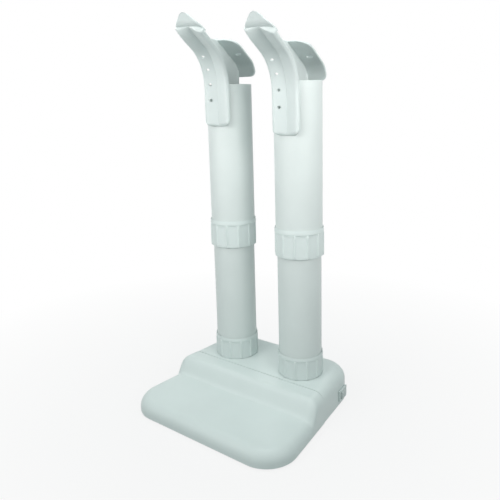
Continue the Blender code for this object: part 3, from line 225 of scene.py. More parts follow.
# Lamps: name, place, aim, size, power in watts, spread in degrees and colour
WARM = (1.0, 0.965, 0.96)
COOL = (0.96, 1.0, 0.99)
LAMPS = (
    ("key_left", (-0.42, -0.62, 0.70), (0.0, 0.04, 0.46), 0.5, 0.62, 80.0, WARM),
    ("front", (-0.12, -0.82, 0.60), (0.0, 0.04, 0.44), 0.4, 0.55, 80.0, WARM),
    ("side_right", (0.75, 0.06, 0.46), (0.05, 0.043, 0.38), 0.25, 0.085, 60.0, WARM),
    ("back_right", (0.70, 0.22, 0.60), (0.03, 0.04, 0.30), 0.35, 0.08, 80.0, WARM),
    ("fill_right", (0.70, -0.24, 0.60), (0.0, 0.04, 0.44), 0.35, 0.51, 80.0, WARM),
    ("near_right", (0.42, -0.16, 0.40), (0.05, 0.0, 0.40), 0.2, 0.13, 100.0, WARM),
    ("low_left", (-0.35, -0.80, 0.10), (0.0, -0.03, 0.45), 0.3, 0.09, 40.0, WARM),
    ("top", (0.05, -0.08, 1.1), (0.0, 0.0, 0.2), 0.5, 3.9, 180.0, COOL),
    ("rear", (-0.35, 0.95, 0.75), (0.0, 0.0, 0.2), 0.6, 0.9, 180.0, COOL),
)


# Meshes from grids
def grid_faces(rows, cols, close_cols, flip):
    """Quads between the neighbouring points of a grid, four corner indices each."""
    row = np.arange(rows - 1)[:, None]
    col = np.arange(cols if close_cols else cols - 1)[None]
    after = (col + 1) % cols
    corners = [row * cols + col, row * cols + after, (row + 1) * cols + after, (row + 1) * cols + col]
    faces = np.stack(corners, -1).reshape(-1, 4)
    return faces[:, ::-1] if flip else faces


def mesh_from_grids(name, grids, caps=()):
    """One mesh from several grids (points, close_cols, flip), with equal points merged.

    caps are loops of points that close an open end.
    """
    points = []
    faces = []
    start = 0
    for grid, close_cols, flip in grids:
        rows, cols = grid.shape[:2]
        points.append(grid.reshape(-1, 3))
        faces += (grid_faces(rows, cols, close_cols, flip) + start).tolist()
        start += rows * cols
    for loop in caps:
        points.append(loop)
        faces.append(list(range(start, start + len(loop))))
        start += len(loop)
    mesh = bpy.data.meshes.new(name)
    mesh.from_pydata(np.concatenate(points).tolist(), [], faces)
    bm = bmesh.new()
    bm.from_mesh(mesh)
    bmesh.ops.remove_doubles(bm, verts=bm.verts, dist=2e-6)
    bmesh.ops.dissolve_degenerate(bm, dist=1e-6, edges=bm.edges)
    bm.to_mesh(mesh)
    bm.free()
    return mesh


def outward(mesh):
    """Turn the faces of a closed mesh outwards."""
    bm = bmesh.new()
    bm.from_mesh(mesh)
    bmesh.ops.recalc_face_normals(bm, faces=bm.faces)
    bm.to_mesh(mesh)
    bm.free()
    return mesh


def drills(name, pairs):
    """Closed drills as one mesh, each with straight lines between its two rings of points."""
    grids = [(rings, True, False) for rings in pairs]
    caps = [ring for rings in pairs for ring in rings]
    return outward(mesh_from_grids(name, grids, caps))


def box_tool(name, boxes):
    """Closed boxes as one mesh, each from (centre, half sizes, turn about Z)."""
    corner = np.array([(x, y, z) for x in (-1, 1) for y in (-1, 1) for z in (-1, 1)], float)
    sides = [(0, 1, 3, 2), (4, 6, 7, 5), (0, 4, 5, 1), (2, 3, 7, 6), (0, 2, 6, 4), (1, 5, 7, 3)]
    points = []
    faces = []
    for centre, half, turn in boxes:
        c, s = math.cos(turn), math.sin(turn)
        x, y, z = (corner * np.array(half)).T
        turned = np.stack([x * c - y * s, x * s + y * c, z], -1)
        faces += [[i + len(points) * 8 for i in side] for side in sides]
        points.append(turned + np.array(centre))
    mesh = bpy.data.meshes.new(name)
    mesh.from_pydata(np.concatenate(points).tolist(), [], faces)
    return outward(mesh)


# Objects
def new_object(name, mesh):
    """An object at the origin that holds a mesh."""
    made = bpy.data.objects.new(name, mesh)
    bpy.context.scene.collection.objects.link(made)
    return made


def baked(obj):
    """Replace an object's mesh with its evaluated shape, and drop the modifiers."""
    graph = bpy.context.evaluated_depsgraph_get()
    graph.update()
    mesh = bpy.data.meshes.new_from_object(obj.evaluated_get(graph))
    obj.modifiers.clear()
    obj.data = mesh
    return obj


def carve(obj, tool_mesh):
    """Cut a tool's shape out of an object."""
    tool = new_object(obj.name + "_tool", tool_mesh)
    step = obj.modifiers.new("carve", "BOOLEAN")
    step.operation = "DIFFERENCE"
    step.solver = "EXACT"
    step.object = tool
    baked(obj)
    bpy.data.objects.remove(tool, do_unlink=True)
    return obj


def soften(obj, width):
    """Round the sharp edges a little, as a mould does."""
    bevel = obj.modifiers.new("soft_edges", "BEVEL")
    bevel.width = width
    bevel.segments = 2
    bevel.limit_method = "ANGLE"
    bevel.angle_limit = math.radians(40.0)
    bevel.harden_normals = True
    return obj


def dress(obj, body, finish, replaced, sharp=32.0):
    """Shade a piece, give it its finish, and let it ride on its body in place of a solid."""
    obj.data.materials.clear()
    obj.data.materials.append(finish)
    obj.data.shade_smooth()
    obj.data.set_sharp_from_angle(angle=math.radians(sharp))
    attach(obj, body)
    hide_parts(replaced)
    return obj


# Finishes
def new_material(name):
    """A material with its nodes, its links and its main shader."""
    made = bpy.data.materials.new(name)
    made.use_nodes = True
    tree = made.node_tree
    return made, tree.nodes, tree.links, tree.nodes["Principled BSDF"]


def plastic(name, color, roughness, grain=900.0, bump=0.06, mottle=0.04):
    """Moulded plastic: a fine grain in the bump, and faint cloudy change in colour and gloss."""
    made, nodes, links, shader = new_material(name)
    shader.inputs["Specular IOR Level"].default_value = 0.3
    place = nodes.new("ShaderNodeTexCoord")
    cloud = nodes.new("ShaderNodeTexNoise")
    cloud.inputs["Scale"].default_value = 24.0
    cloud.inputs["Detail"].default_value = 4.0
    links.new(place.outputs["Object"], cloud.inputs["Vector"])
    tone = nodes.new("ShaderNodeMix")
    tone.data_type = "RGBA"
    tone.inputs["A"].default_value = (*[c * (1.0 - mottle) for c in color], 1.0)
    tone.inputs["B"].default_value = (*[min(1.0, c * (1.0 + mottle)) for c in color], 1.0)
    links.new(cloud.outputs["Fac"], tone.inputs["Factor"])
    links.new(tone.outputs["Result"], shader.inputs["Base Color"])
    gloss = nodes.new("ShaderNodeMapRange")
    gloss.inputs["To Min"].default_value = roughness - 0.05
    gloss.inputs["To Max"].default_value = roughness + 0.05
    links.new(cloud.outputs["Fac"], gloss.inputs["Value"])
    links.new(gloss.outputs["Result"], shader.inputs["Roughness"])
    fine = nodes.new("ShaderNodeTexNoise")
    fine.inputs["Scale"].default_value = grain
    fine.inputs["Detail"].default_value = 2.0
    links.new(place.outputs["Object"], fine.inputs["Vector"])
    relief = nodes.new("ShaderNodeBump")
    relief.inputs["Strength"].default_value = bump
    relief.inputs["Distance"].default_value = 0.0004
    links.new(fine.outputs["Fac"], relief.inputs["Height"])
    links.new(relief.outputs["Normal"], shader.inputs["Normal"])
    return made


def metal(name, color, roughness):
    """Bare metal with fine drawn lines in its tone and gloss."""
    made, nodes, links, shader = new_material(name)
    shader.inputs["Metallic"].default_value = 1.0
    place = nodes.new("ShaderNodeTexCoord")
    stretch = nodes.new("ShaderNodeMapping")
    stretch.inputs["Scale"].default_value = (1.0, 1.0, 12.0)
    links.new(place.outputs["Object"], stretch.inputs["Vector"])
    lines = nodes.new("ShaderNodeTexNoise")
    lines.inputs["Scale"].default_value = 260.0
    links.new(stretch.outputs["Vector"], lines.inputs["Vector"])
    tone = nodes.new("ShaderNodeMix")
    tone.data_type = "RGBA"
    tone.inputs["A"].default_value = (*[c * 0.85 for c in color], 1.0)
    tone.inputs["B"].default_value = (*color, 1.0)
    links.new(lines.outputs["Fac"], tone.inputs["Factor"])
    links.new(tone.outputs["Result"], shader.inputs["Base Color"])
    gloss = nodes.new("ShaderNodeMapRange")
    gloss.inputs["To Min"].default_value = roughness - 0.08
    gloss.inputs["To Max"].default_value = roughness + 0.08
    links.new(lines.outputs["Fac"], gloss.inputs["Value"])
    links.new(gloss.outputs["Result"], shader.inputs["Roughness"])
    return made


SHELL = plastic("shell_plastic", (0.70, 0.775, 0.76), 0.34)
TUBE = plastic("tube_plastic", (0.685, 0.745, 0.73), 0.40, grain=500.0, bump=0.03)
GUIDE = plastic("guide_plastic", (0.635, 0.70, 0.69), 0.36, bump=0.04)
DARK = plastic("dark_plastic", (0.035, 0.036, 0.038), 0.5, mottle=0.12)
RUBBER = plastic("black_rubber", (0.028, 0.028, 0.029), 0.75, grain=1400.0, bump=0.15, mottle=0.15)
ZINC = metal("zinc_steel", (0.62, 0.62, 0.60), 0.34)
STEEL = metal("motor_steel", (0.60, 0.60, 0.60), 0.32)
FINS = metal("heater_aluminium", (0.78, 0.78, 0.78), 0.36)


# Base
def fillet_line(points, radii, steps):
    """A polyline in a plane whose inner corners are replaced by arcs of the given radii."""
    line = [np.array(points[0])]
    for before, corner, after, radius in zip(points, points[1:], points[2:], radii):
        before, corner, after = (np.array(p) for p in (before, corner, after))
        a = (before - corner) / np.linalg.norm(before - corner)
        b = (after - corner) / np.linalg.norm(after - corner)
        half = math.acos(float(a @ b)) / 2.0
        middle = corner + (a + b) / np.linalg.norm(a + b) * radius / math.sin(half)
        u = corner + a * radius / math.tan(half) - middle
        v = corner + b * radius / math.tan(half) - middle
        sweep = math.pi - 2.0 * half
        t = np.linspace(0.0, 1.0, steps + 1)[:, None]
        line += list(middle + (np.sin((1.0 - t) * sweep) * u + np.sin(t * sweep) * v) / math.sin(sweep))
    line.append(np.array(points[-1]))
    return np.array(line)


STEP_LINE = fillet_line(
    [(FRONT_Y - EDGE_R, PLATFORM_TOP), (TUBE_Y - STEP_FOOT_REACH, PLATFORM_TOP),
     (TUBE_Y - STEP_TOP_REACH, HOUSING_TOP), (REAR_Y + EDGE_R, HOUSING_TOP)],
    (STEP_FOOT_R, STEP_TOP_R), 24)


def top_height(y):
    """Height of the top: the low platform, the step's two arcs, and the high rear."""
    return np.interp(y, STEP_LINE[:, 0], STEP_LINE[:, 1])


def side_x(y, inset):
    """Half width of the base, which narrows to the rear."""
    return BASE_HALF_WIDTH - (y - FRONT_Y) * math.tan(BASE_TAPER) - inset / math.cos(BASE_TAPER)


def half_outline(inset, end_y, seam_y, corner_r):
    """Right half of a shell's outline, from the middle of its end round the corner to the seam.

    The end is a straight line, the corner an arc of the corner radius less the inset, and the side a
    straight line to the seam.
    """
    inward = 1.0 if end_y < seam_y else -1.0
    end = end_y + inward * inset
    line = fillet_line([(0.0, end), (side_x(end, inset), end), (side_x(seam_y, inset), seam_y)],
                       (corner_r - inset,), CORNER_STEPS)
    arc = line[1:-1]
    edge = np.stack([np.linspace(0.0, arc[0, 0], END_STEPS + 1), np.full(END_STEPS + 1, end)], -1)
    t = np.linspace(0.0, 1.0, SIDE_STEPS + 1)[1:, None]
    side = arc[-1] + (line[-1] - arc[-1]) * t
    return np.concatenate([edge, arc[1:], side])


def shell_mesh(name, inset, end_y, seam_y, corner_r):
    """A base shell: its outline carried up the wall and over a quarter round, then across to the middle.

    At angle a of the quarter round the outline is inset by R(1 - cos a) and lies R(1 - sin a) under the
    top height at the same distance from the front.
    """
    rows = []
    low = half_outline(inset, end_y, seam_y, corner_r)
    wall_top = top_height(low[:, 1]) - EDGE_R
    for share in (0.0, 0.5):
        rows.append(np.column_stack([low, RIM_Z + (wall_top - RIM_Z) * share]))
    for angle in np.linspace(0.0, QUARTER, ROLL_STEPS + 1):
        line = half_outline(inset + EDGE_R * (1.0 - math.cos(angle)), end_y, seam_y, corner_r)
        rows.append(np.column_stack([line, top_height(line[:, 1]) - EDGE_R * (1.0 - math.sin(angle))]))
    wall = np.array(rows)
    edge = wall[-1][END_STEPS:]
    across = np.linspace(1.0, 0.0, END_STEPS + 1)[:, None, None]
    top = edge[None] * np.concatenate([across, np.ones_like(across), np.ones_like(across)], -1)
    mirror = np.array([-1.0, 1.0, 1.0])
    flip = end_y > seam_y
    grids = [(wall, False, flip), (top, False, flip)]
    grids += [(wall * mirror, False, not flip), (top * mirror, False, not flip)]
    return mesh_from_grids(name, grids)


def walled_shell(name, inset, end_y, seam_y, corner_r):
    """A base shell with the moulding's wall given to its open skin, inwards."""
    skin = new_object(name, shell_mesh(name, inset, end_y, seam_y, corner_r))
    wall = skin.modifiers.new("wall", "SOLIDIFY")
    wall.thickness = SHELL_WALL
    wall.offset = -1.0
    wall.use_even_offset = True
    return baked(skin)


def front_tray():
    """The low front shell with the step."""
    skin = walled_shell("front_tray_skin", TRAY_INSET, FRONT_Y, SEAM_Y - SEAM_GAP / 2.0, FRONT_CORNER_R)
    soften(skin, SHELL_SOFT)
    dress(skin, "base", SHELL, "front_tray")


def rear_housing():
    """The high rear shell, cut for the switch, for a row of vent slots and for the cord's bushing."""
    skin = walled_shell("rear_housing_skin", TRAY_PROUD, REAR_Y, SEAM_Y + SEAM_GAP / 2.0, REAR_CORNER_R)
    low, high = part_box("switch_bezel")
    bushing_low, bushing_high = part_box("cord_bushing")
    middle = [(a + b) / 2.0 for a, b in zip(low, high)]
    boxes = [(middle, SWITCH_OPENING, BASE_TAPER)]
    for i in range(REAR_SLOTS):
        x = (i - REAR_SLOTS // 2) * REAR_SLOT_PITCH
        boxes.append(((x, REAR_Y, REAR_SLOT_Z), REAR_SLOT_HALF, 0.0))
    carve(skin, box_tool("housing_openings", boxes))
    angle = np.linspace(0.0, 2.0 * math.pi, 33)[:-1]
    across = (bushing_low[0] + bushing_high[0]) / 2.0 + BUSHING_R * np.cos(angle)
    up = (bushing_low[2] + bushing_high[2]) / 2.0 + BUSHING_R * np.sin(angle)
    ends = (REAR_Y - BUSHING_REACH, REAR_Y + BUSHING_REACH)
    rings = np.array([np.stack([across, np.full(len(angle), y), up], -1) for y in ends])
    carve(skin, drills("bushing_bore", [rings]))
    soften(skin, SHELL_SOFT)
    dress(skin, "base", SHELL, "rear_housing")


# Tubes and collars
def turned_mesh(name, profile, centre, relief=None, sides=128):
    """A closed profile of (radius, height) turned about a vertical axis.

    relief, where given, is added to the radius at each angle and profile point.
    """
    angle = np.linspace(0.0, 2.0 * math.pi, sides + 1)[:-1]
    radius = np.broadcast_to(profile[:, 0], (sides, len(profile)))
    if relief is not None:
        radius = radius + relief(angle[:, None], profile[None])
    x = centre[0] + radius * np.cos(angle[:, None])
    y = centre[1] + radius * np.sin(angle[:, None])
    z = np.broadcast_to(profile[:, 1], radius.shape)
    grid = np.stack([x, y, z], -1)
    grid = np.concatenate([grid, grid[:1]])
    return outward(mesh_from_grids(name, [(grid, True, False)]))


def sleeve_profile(outer, inner, low, high, lip):
    """A sleeve's wall with its two rims rounded by arcs of the lip's radius."""
    t = np.linspace(0.0, QUARTER, 5)
    s, c = np.sin(t), np.cos(t)
    parts = [
        np.stack([outer - lip + lip * s, high - lip + lip * c], -1),
        np.stack([np.full(14, outer), np.linspace(high - lip, low + lip, 16)[1:-1]], -1),
        np.stack([outer - lip + lip * c, low + lip - lip * s], -1),
        np.stack([inner + lip - lip * s, low + lip - lip * c], -1),
        np.stack([inner + lip - lip * c, high - lip + lip * s], -1),
    ]
    return np.concatenate(parts)


def tubes(side):
    """The lower tube, fixed to the base, and the upper tube that slides over it."""
    for node, outer, inner, body in (
        (side + "_lower_tube", LOWER_TUBE_R, LOWER_TUBE_R - LOWER_TUBE_WALL, "base"),
        (side + "_upper_tube", UPPER_TUBE_R, UPPER_BORE_R, side + "_upper_tube"),
    ):
        low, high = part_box(node)
        profile = sleeve_profile(outer, inner, low[2], high[2], TUBE_LIP)
        name = node + "_skin"
        made = new_object(name, turned_mesh(name, profile, (TUBE_X[side], TUBE_Y)))
        dress(made, body, TUBE, node)


def collar_profile(outer, bore, low, high, rim):
    """A collar's section, straight lines through its points: the ribbed side, the smooth rim, the cone and
    the bore."""
    core = outer - RIB_HEIGHT
    band = rim - RIM_BAND
    heights = np.concatenate([[low], np.linspace(low + COLLAR_FOOT, band - RIB_FADE, 10),
                              np.linspace(band - RIM_LEAD, band, 4)])
    side_part = np.stack([np.full(len(heights), core), heights], -1)
    side_part[0, 0] = core - COLLAR_LIP
    edge = np.array([outer - RIM_INSET, rim])
    top = np.array([bore + CONE_LEDGE, high])
    cone_part = edge + (top - edge) * np.linspace(0.0, 1.0, 5)[:, None]
    inner_part = [[bore, high - COLLAR_LIP], [bore, low + COLLAR_LIP], [bore + BORE_LIP, low]]
    return np.concatenate([side_part, [[edge[0], band + RIM_TURN]], cone_part, inner_part])


def collar(side, kind):
    """A ring with twelve upright ribs between shallow panels, a smooth rim and a cone above it.

    A flat panel between ribs would lie under the rib circle by r(1 - cos p / cos q), with q the angle from
    the panel's middle and p half the pitch. The panel takes a fixed share of that depth. A rib is one
    over one plus the eighth power of the distance from its middle, in half widths.
    """
    node = side + "_" + kind
    outer, bore, first_rib, cone = COLLARS[kind]
    low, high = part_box(node)
    low, high = low[2], high[2]
    rim = high - cone
    core = outer - RIB_HEIGHT
    fade_low = low + FOOT_FADE_START
    fade_high = rim - RIM_BAND

    def ribs_and_panels(angle, point):
        """Height over the core at each angle, on the ribbed part of the section only."""
        pitch = 2.0 * math.pi / RIBS
        off = np.abs((angle - first_rib + pitch / 2.0) % pitch - pitch / 2.0)
        rib = 1.0 / (1.0 + (off * core / (RIB_WIDTH / 2.0)) ** 8)
        panel = core * (math.cos(pitch / 2.0) / np.cos(pitch / 2.0 - off) - 1.0) * PANEL_SHARE
        radius, height = point[..., 0], point[..., 1]
        ribbed = (radius > bore + BORE_MARGIN) & (height < fade_high)
        fade = np.clip((fade_high - height) / RIB_FADE, 0.0, 1.0) * ribbed
        fade = fade * np.clip((height - fade_low) / FOOT_FADE, 0.0, 1.0)
        return fade * (np.where(rib > 0.5, 0.0, panel) + RIB_HEIGHT * rib)

    name = node + "_skin"
    profile = collar_profile(outer, bore, low, high, rim)
    mesh = turned_mesh(name, profile, (TUBE_X[side], TUBE_Y), ribs_and_panels, sides=360)
    dress(new_object(name, mesh), node, SHELL, node, sharp=50.0)


# Toe guides, in a frame with the tube's axis at the origin and the seat at zero height
def smooth_step(x):
    """Nought to one with level ends, 3x^2 - 2x^3."""
    x = np.clip(x, 0.0, 1.0)
    return x * x * (3.0 - 2.0 * x)


def corner_width(distance, radius, width):
    """Half width near a rounded end: the width less what a corner of the radius takes at a distance."""
    gone = np.clip(radius - distance, 0.0, radius)
    return width - radius + np.sqrt(np.maximum(radius * radius - gone * gone, 0.0))


def strip_points(run, x, depth):
    """Points of the strip: straight up, then an arc, then straight ahead at the bend's angle.

    run is the distance along it from the start of its bend, x is across, and depth lies in front of the
    crease.
    """
    angle = np.clip(run / BEND_R, 0.0, BEND_ANGLE)
    along = np.where(run < 0.0, run, np.maximum(run - BEND_RUN, 0.0))
    reach = BEND_R - depth
    y = -(CREASE_D + BEND_R) + reach * np.cos(angle) - along * np.sin(angle)
    z = BEND_START + reach * np.sin(angle) + along * np.cos(angle)
    return np.stack(np.broadcast_arrays(x, y, z), -1)


def pad_height(x):
    """Height of a pad in front of the crease: nearly straight up to its crest, by a power a little over
    one, then a parabola down to its outer edge, so that the two pads meet in a sharp crease."""
    x = np.abs(x)
    rising = PAD_RISE * (1.0 - np.maximum(1.0 - x / PAD_CREST, 0.0) ** PAD_POWER)
    falling = PAD_RISE - PAD_EDGE_DROP * ((x - PAD_CREST) / (STRIP_HALF - PAD_CREST)) ** 2
    return np.where(x < PAD_CREST, rising, falling)


def pads_mesh(name):
    """The two hollow pads: their cross-section carried up the tube and round the bend.

    The rear face follows the front at the wall's thickness, and closes to the flat back at both ends. The
    foot is drawn in to a nose by a quarter circle. At the top the right pad ends in an arch, a parabola
    across, and the left pad runs out to the tongue along a quarter ellipse.
    """
    foot = -(STRIP_FOOT + BEND_START)
    run = np.concatenate([
        foot + STRIP_FOOT_R * (1.0 - np.cos(np.linspace(END_TURN, QUARTER, 22))),
        np.linspace(foot + STRIP_FOOT_R, 0.0, 12)[1:],
        np.linspace(0.0, BEND_RUN, 30)[1:],
        np.linspace(BEND_RUN, PAD_END - PAD_END_R, 14)[1:],
        PAD_END - PAD_END_R * (1.0 - np.sin(np.linspace(0.0, QUARTER, 10)))[1:],
    ])[:, None]
    x = corner_width(run - foot, STRIP_FOOT_R, STRIP_HALF) * np.linspace(-1.0, 1.0, 57)[None]
    arch = PAD_ARCH * (np.maximum(x, 0.0) / STRIP_HALF) ** 2
    arch = arch * smooth_step((run - PAD_END) / PAD_ARCH_RUN + 1.0)
    nose = np.clip(1.0 - (run - foot) / NOSE_R, 0.0, 1.0)
    right_end = np.clip(1.0 - (PAD_END - run) / PAD_END_R, 0.0, PAD_END_BLUNT) * (x > 0.0)
    left_end = np.clip(1.0 - (PAD_END - run) / PAD_RUNOUT, 0.0, PAD_RUNOUT_BLUNT) * (x < 0.0)
    front = pad_height(x) * np.sqrt(1.0 - left_end ** 2) + STRIP_THICK
    front = front * np.sqrt(1.0 - np.maximum(nose, right_end) ** 2) - STRIP_THICK
    hollow = smooth_step((run - foot - PAD_END_WALL) / PAD_HOLLOW_EASE)
    hollow = hollow * smooth_step((PAD_END - PAD_END_WALL - run) / PAD_HOLLOW_EASE)
    back = np.clip(front - PAD_WALL + STRIP_THICK, 0.0, None) * hollow - STRIP_THICK
    skins = np.stack([strip_points(run - arch, x, depth) for depth in (front, back)])
    loop = np.concatenate([skins[0], skins[1][:, ::-1]], 1)
    ends = [(skins[:, i], False, False) for i in (0, -1)]
    return outward(mesh_from_grids(name, [(loop, True, False)] + ends))


def vent_tool(name):
    """Round drills through the left pad at an even pitch along the strip."""
    angle = np.linspace(0.0, 2.0 * math.pi, 25)[:-1]
    x = -VENT_OFFSET + VENT_R * np.cos(angle)
    pairs = []
    for i in range(VENT_COUNT):
        run = BEND_START + VENT_PITCH * i + VENT_R * np.sin(angle)
        pairs.append(np.array([strip_points(run, x, depth) for depth in VENT_DRILL]))
    return drills(name, pairs)


def bar_section(half):
    """Cross-section of a flat bar with half round sides, as the share of its width, the shift of its
    round sides, and the height above its middle."""
    turn = np.linspace(-QUARTER, QUARTER, 9)
    flat = np.linspace(-1.0, 1.0, 17)[1:-1]
    share = np.concatenate([np.ones(9), -flat, -np.ones(9), flat])
    shift = half * np.concatenate([np.cos(turn) - 1.0, np.zeros(15), 1.0 - np.cos(turn), np.zeros(15)])
    height = half * np.concatenate([np.sin(turn), np.ones(15), -np.sin(turn), -np.ones(15)])
    return share, shift, height


def tongue_points(run, x, depth):
    """Points of the tongue: straight on from the bend, an arc that curls up about a line behind it, and
    straight again."""
    middle = strip_points(np.array(CURL_START), 0.0, -CURL_R)
    angle = BEND_ANGLE - np.clip((run - CURL_START) / CURL_R, 0.0, CURL_ANGLE)
    along = np.minimum(run - CURL_START, 0.0) + np.maximum(run - CURL_START - CURL_R * CURL_ANGLE, 0.0)
    y = middle[1] - (CURL_R + depth) * np.cos(angle) - along * np.sin(angle)
    z = middle[2] - (CURL_R + depth) * np.sin(angle) + along * np.cos(angle)
    return np.stack(np.broadcast_arrays(x, y, z), -1)


def tongue_mesh(name):
    """The thin tongue: a flat bar carried along its curl, drawn in from the shoulders to a rounded tip.

    Its half width falls in a straight line with height, with the corner at the shoulder eased by the
    logarithm of one plus the exponential, and the tip is a half ellipse.
    """
    tail = CURL_START + CURL_R * CURL_ANGLE
    end = tail + TONGUE_TAIL
    run = np.concatenate([
        np.linspace(PAD_END - TONGUE_ROOT, CURL_START, 10),
        np.linspace(CURL_START, tail, 16)[1:],
        np.linspace(tail, end - TIP_R, 10)[1:],
        end - TIP_R * (1.0 - np.sin(np.linspace(0.0, QUARTER - END_TURN, 14)))[1:],
    ])
    height = tongue_points(run, 0.0, 0.0)[:, 2]
    shoulder = strip_points(np.array(PAD_END - SHOULDER_BACK), 0.0, 0.0)[2]
    slope = (STRIP_HALF - TIP_HALF) / (height[-1] - shoulder)
    fall = SHOULDER_SOFT * np.log1p(np.exp((height - shoulder) * slope / SHOULDER_SOFT))
    near_tip = np.clip((run - end) / TIP_R + 1.0, 0.0, 1.0)
    width = ((STRIP_HALF - fall) * np.sqrt(1.0 - near_tip ** 2))[:, None]
    half = TONGUE_THICK / 2.0
    share, shift, lift = bar_section(half)
    x = width * share + shift * np.minimum(width / half, 1.0)
    depth = lift - TONGUE_SINK - half
    level = np.clip((run - tail) / TONGUE_TAIL, 0.0, 1.0)[:, None] * math.tan(BEND_ANGLE - CURL_ANGLE)
    grid = tongue_points(run[:, None] + depth * level, x, depth)
    return outward(mesh_from_grids(name, [(grid, True, False)], [grid[0], grid[-1]]))


def saddle_line(run):
    """The saddle's middle line from its foot: an arc from upright to the slope, then a straight line that
    rises forward."""
    angle = np.clip(run / SADDLE_R, 0.0, SADDLE_BEND)
    along = np.maximum(run - SADDLE_R * SADDLE_BEND, 0.0)
    foot = UPPER_TUBE_R - SADDLE_THICK / 2.0
    y = foot - SADDLE_R * (1.0 - np.cos(angle)) - along * np.sin(angle)
    z = SADDLE_R * np.sin(angle) + along * np.cos(angle)
    return y, z, angle


def saddle_mesh(name):
    """The saddle plate: a flat bar with rounded sides carried along its middle line, its width drawn in
    round the corners at both ends."""
    run = np.concatenate([
        SADDLE_FOOT_R * (1.0 - np.cos(np.linspace(END_TURN, QUARTER, 12))),
        np.linspace(SADDLE_FOOT_R, SADDLE_LENGTH - SADDLE_FRONT_R, 34)[1:],
        SADDLE_LENGTH - SADDLE_FRONT_R * (1.0 - np.sin(np.linspace(0.0, QUARTER - END_TURN, 14)))[1:],
    ])
    width = np.minimum(corner_width(run, SADDLE_FOOT_R, SADDLE_HALF),
                       corner_width(SADDLE_LENGTH - run, SADDLE_FRONT_R, SADDLE_HALF))
    share, shift, lift = bar_section(SADDLE_THICK / 2.0)
    y, z, angle = (line[:, None] for line in saddle_line(run))
    x = width[:, None] * share + shift
    grid = np.stack([x, y + lift * np.cos(angle), z + lift * np.sin(angle)], -1)
    return outward(mesh_from_grids(name, [(grid, True, False)], [grid[0], grid[-1]]))


def slot_tool(name):
    """Two upright oblong drills, straight sides between two half circles."""
    turn = np.linspace(0.0, math.pi, 10)
    x = np.concatenate([SLOT_R + SLOT_R * np.sin(turn), -SLOT_R - SLOT_R * np.sin(turn)])
    y = np.concatenate([-SLOT_R * np.cos(turn), SLOT_R * np.cos(turn)])
    pairs = []
    for offset in (-SLOT_OFFSET, SLOT_OFFSET):
        pairs.append(np.array([np.stack([x + offset, y, np.full(len(x), z)], -1) for z in SLOT_DRILL]))
    return drills(name, pairs)


def web_mesh(name):
    """The upright web: straight lines ruled between its front edge and its rear edge, given thickness."""
    first = BEND_R * math.asin(-BEND_START / BEND_R)
    strip = strip_points(np.linspace(first, BEND_RUN + WEB_TOP_RUN, 44), 0.0, -STRIP_THICK / 2.0)[:, 1:]
    plug = np.stack([np.full(14, -PLUG_R), np.linspace(-PLUG_DEPTH, 0.0, 14)], -1)
    front = np.concatenate([plug, strip])
    y, z, _ = saddle_line(np.linspace(0.0, SADDLE_LENGTH - MM, 44))
    rear_low = np.stack([np.full(14, WEB_REAR_R), np.linspace(-PLUG_DEPTH, -WEB_LAP, 14)], -1)
    rear = np.concatenate([rear_low, np.stack([y, z], -1)])
    share = np.linspace(0.0, 1.0, 9)[None, :, None]
    plane = front[:, None] * (1.0 - share) + rear[:, None] * share
    half = np.full((*plane.shape[:2], 1), WEB_THICK / 2.0)
    right = np.concatenate([half, plane], -1)
    left = np.concatenate([-half, plane], -1)
    loop = np.concatenate([right, left[:, ::-1]], 1)
    return outward(mesh_from_grids(name, [(loop, True, False)], [loop[0], loop[-1]]))


def plug_mesh(name):
    """The cross fin in the tube's bore and the round bead on the web's rear edge."""
    fin_middle = (0.0, 0.0, -(FIN_FOOT + FIN_TOP) / 2.0)
    fin_half = (PLUG_R, WEB_THICK / 2.0, (FIN_FOOT - FIN_TOP) / 2.0)
    profile = np.array([[0.0, BEAD_TOP], [BEAD_R, BEAD_TOP], [BEAD_R, -BEAD_FOOT], [0.0, -BEAD_FOOT]])
    bm = bmesh.new()
    bm.from_mesh(box_tool(name + "_fin", [(fin_middle, fin_half, 0.0)]))
    bm.from_mesh(turned_mesh(name + "_bead", profile, (0.0, PLUG_R - BEAD_R), sides=24))
    mesh = bpy.data.meshes.new(name)
    bm.to_mesh(mesh)
    bm.free()
    return mesh


def toe_guide(side):
    """The pads, tongue, saddle, web and plug of one toe guide, turned and set on its tube."""
    place = Matrix.Translation((TUBE_X[side], TUBE_Y, SEAT_Z[side]))
    place = place @ Matrix.Rotation(GUIDE_TURN[side], 4, "Z")
    node = side + "_toe_guide"
    stem = node + "_"
    pads = carve(new_object(stem + "pads", pads_mesh(stem + "pads")), vent_tool(stem + "vents"))
    tongue = new_object(stem + "tongue", tongue_mesh(stem + "tongue"))
    saddle = carve(new_object(stem + "saddle", saddle_mesh(stem + "saddle")), slot_tool(stem + "slots"))
    web = new_object(stem + "web", web_mesh(stem + "web"))
    plug = new_object(stem + "plug", plug_mesh(stem + "plug"))
    for piece, width in ((pads, 0.4), (tongue, 0.3), (saddle, 0.3), (web, 0.4), (plug, 0.3)):
        piece.data.transform(place)
        soften(piece, width * MM)
        dress(piece, node, GUIDE, node)


# Solids that show as they are
NODE_FINISH = {
    "switch_rocker": GUIDE, "fan_wheel": DARK, "left_clamp_ring": DARK, "right_clamp_ring": DARK,
    "cord_bushing": RUBBER, "fan_motor": STEEL, "thermal_cutout": STEEL, "left_heater": FINS,
    "right_heater": FINS,
}


def finish_solids():
    """Give each solid its finish: rubber feet, zinc screws, and shell plastic where none is named."""
    for node, obj in frame["nodes"].items():
        finish = NODE_FINISH.get(node, SHELL)
        if node.startswith("rubber_foot"):
            finish = RUBBER
        elif node.startswith(("casing_screw", "motor_screw")):
            finish = ZINC
        obj.data.materials.clear()
        obj.data.materials.append(finish)


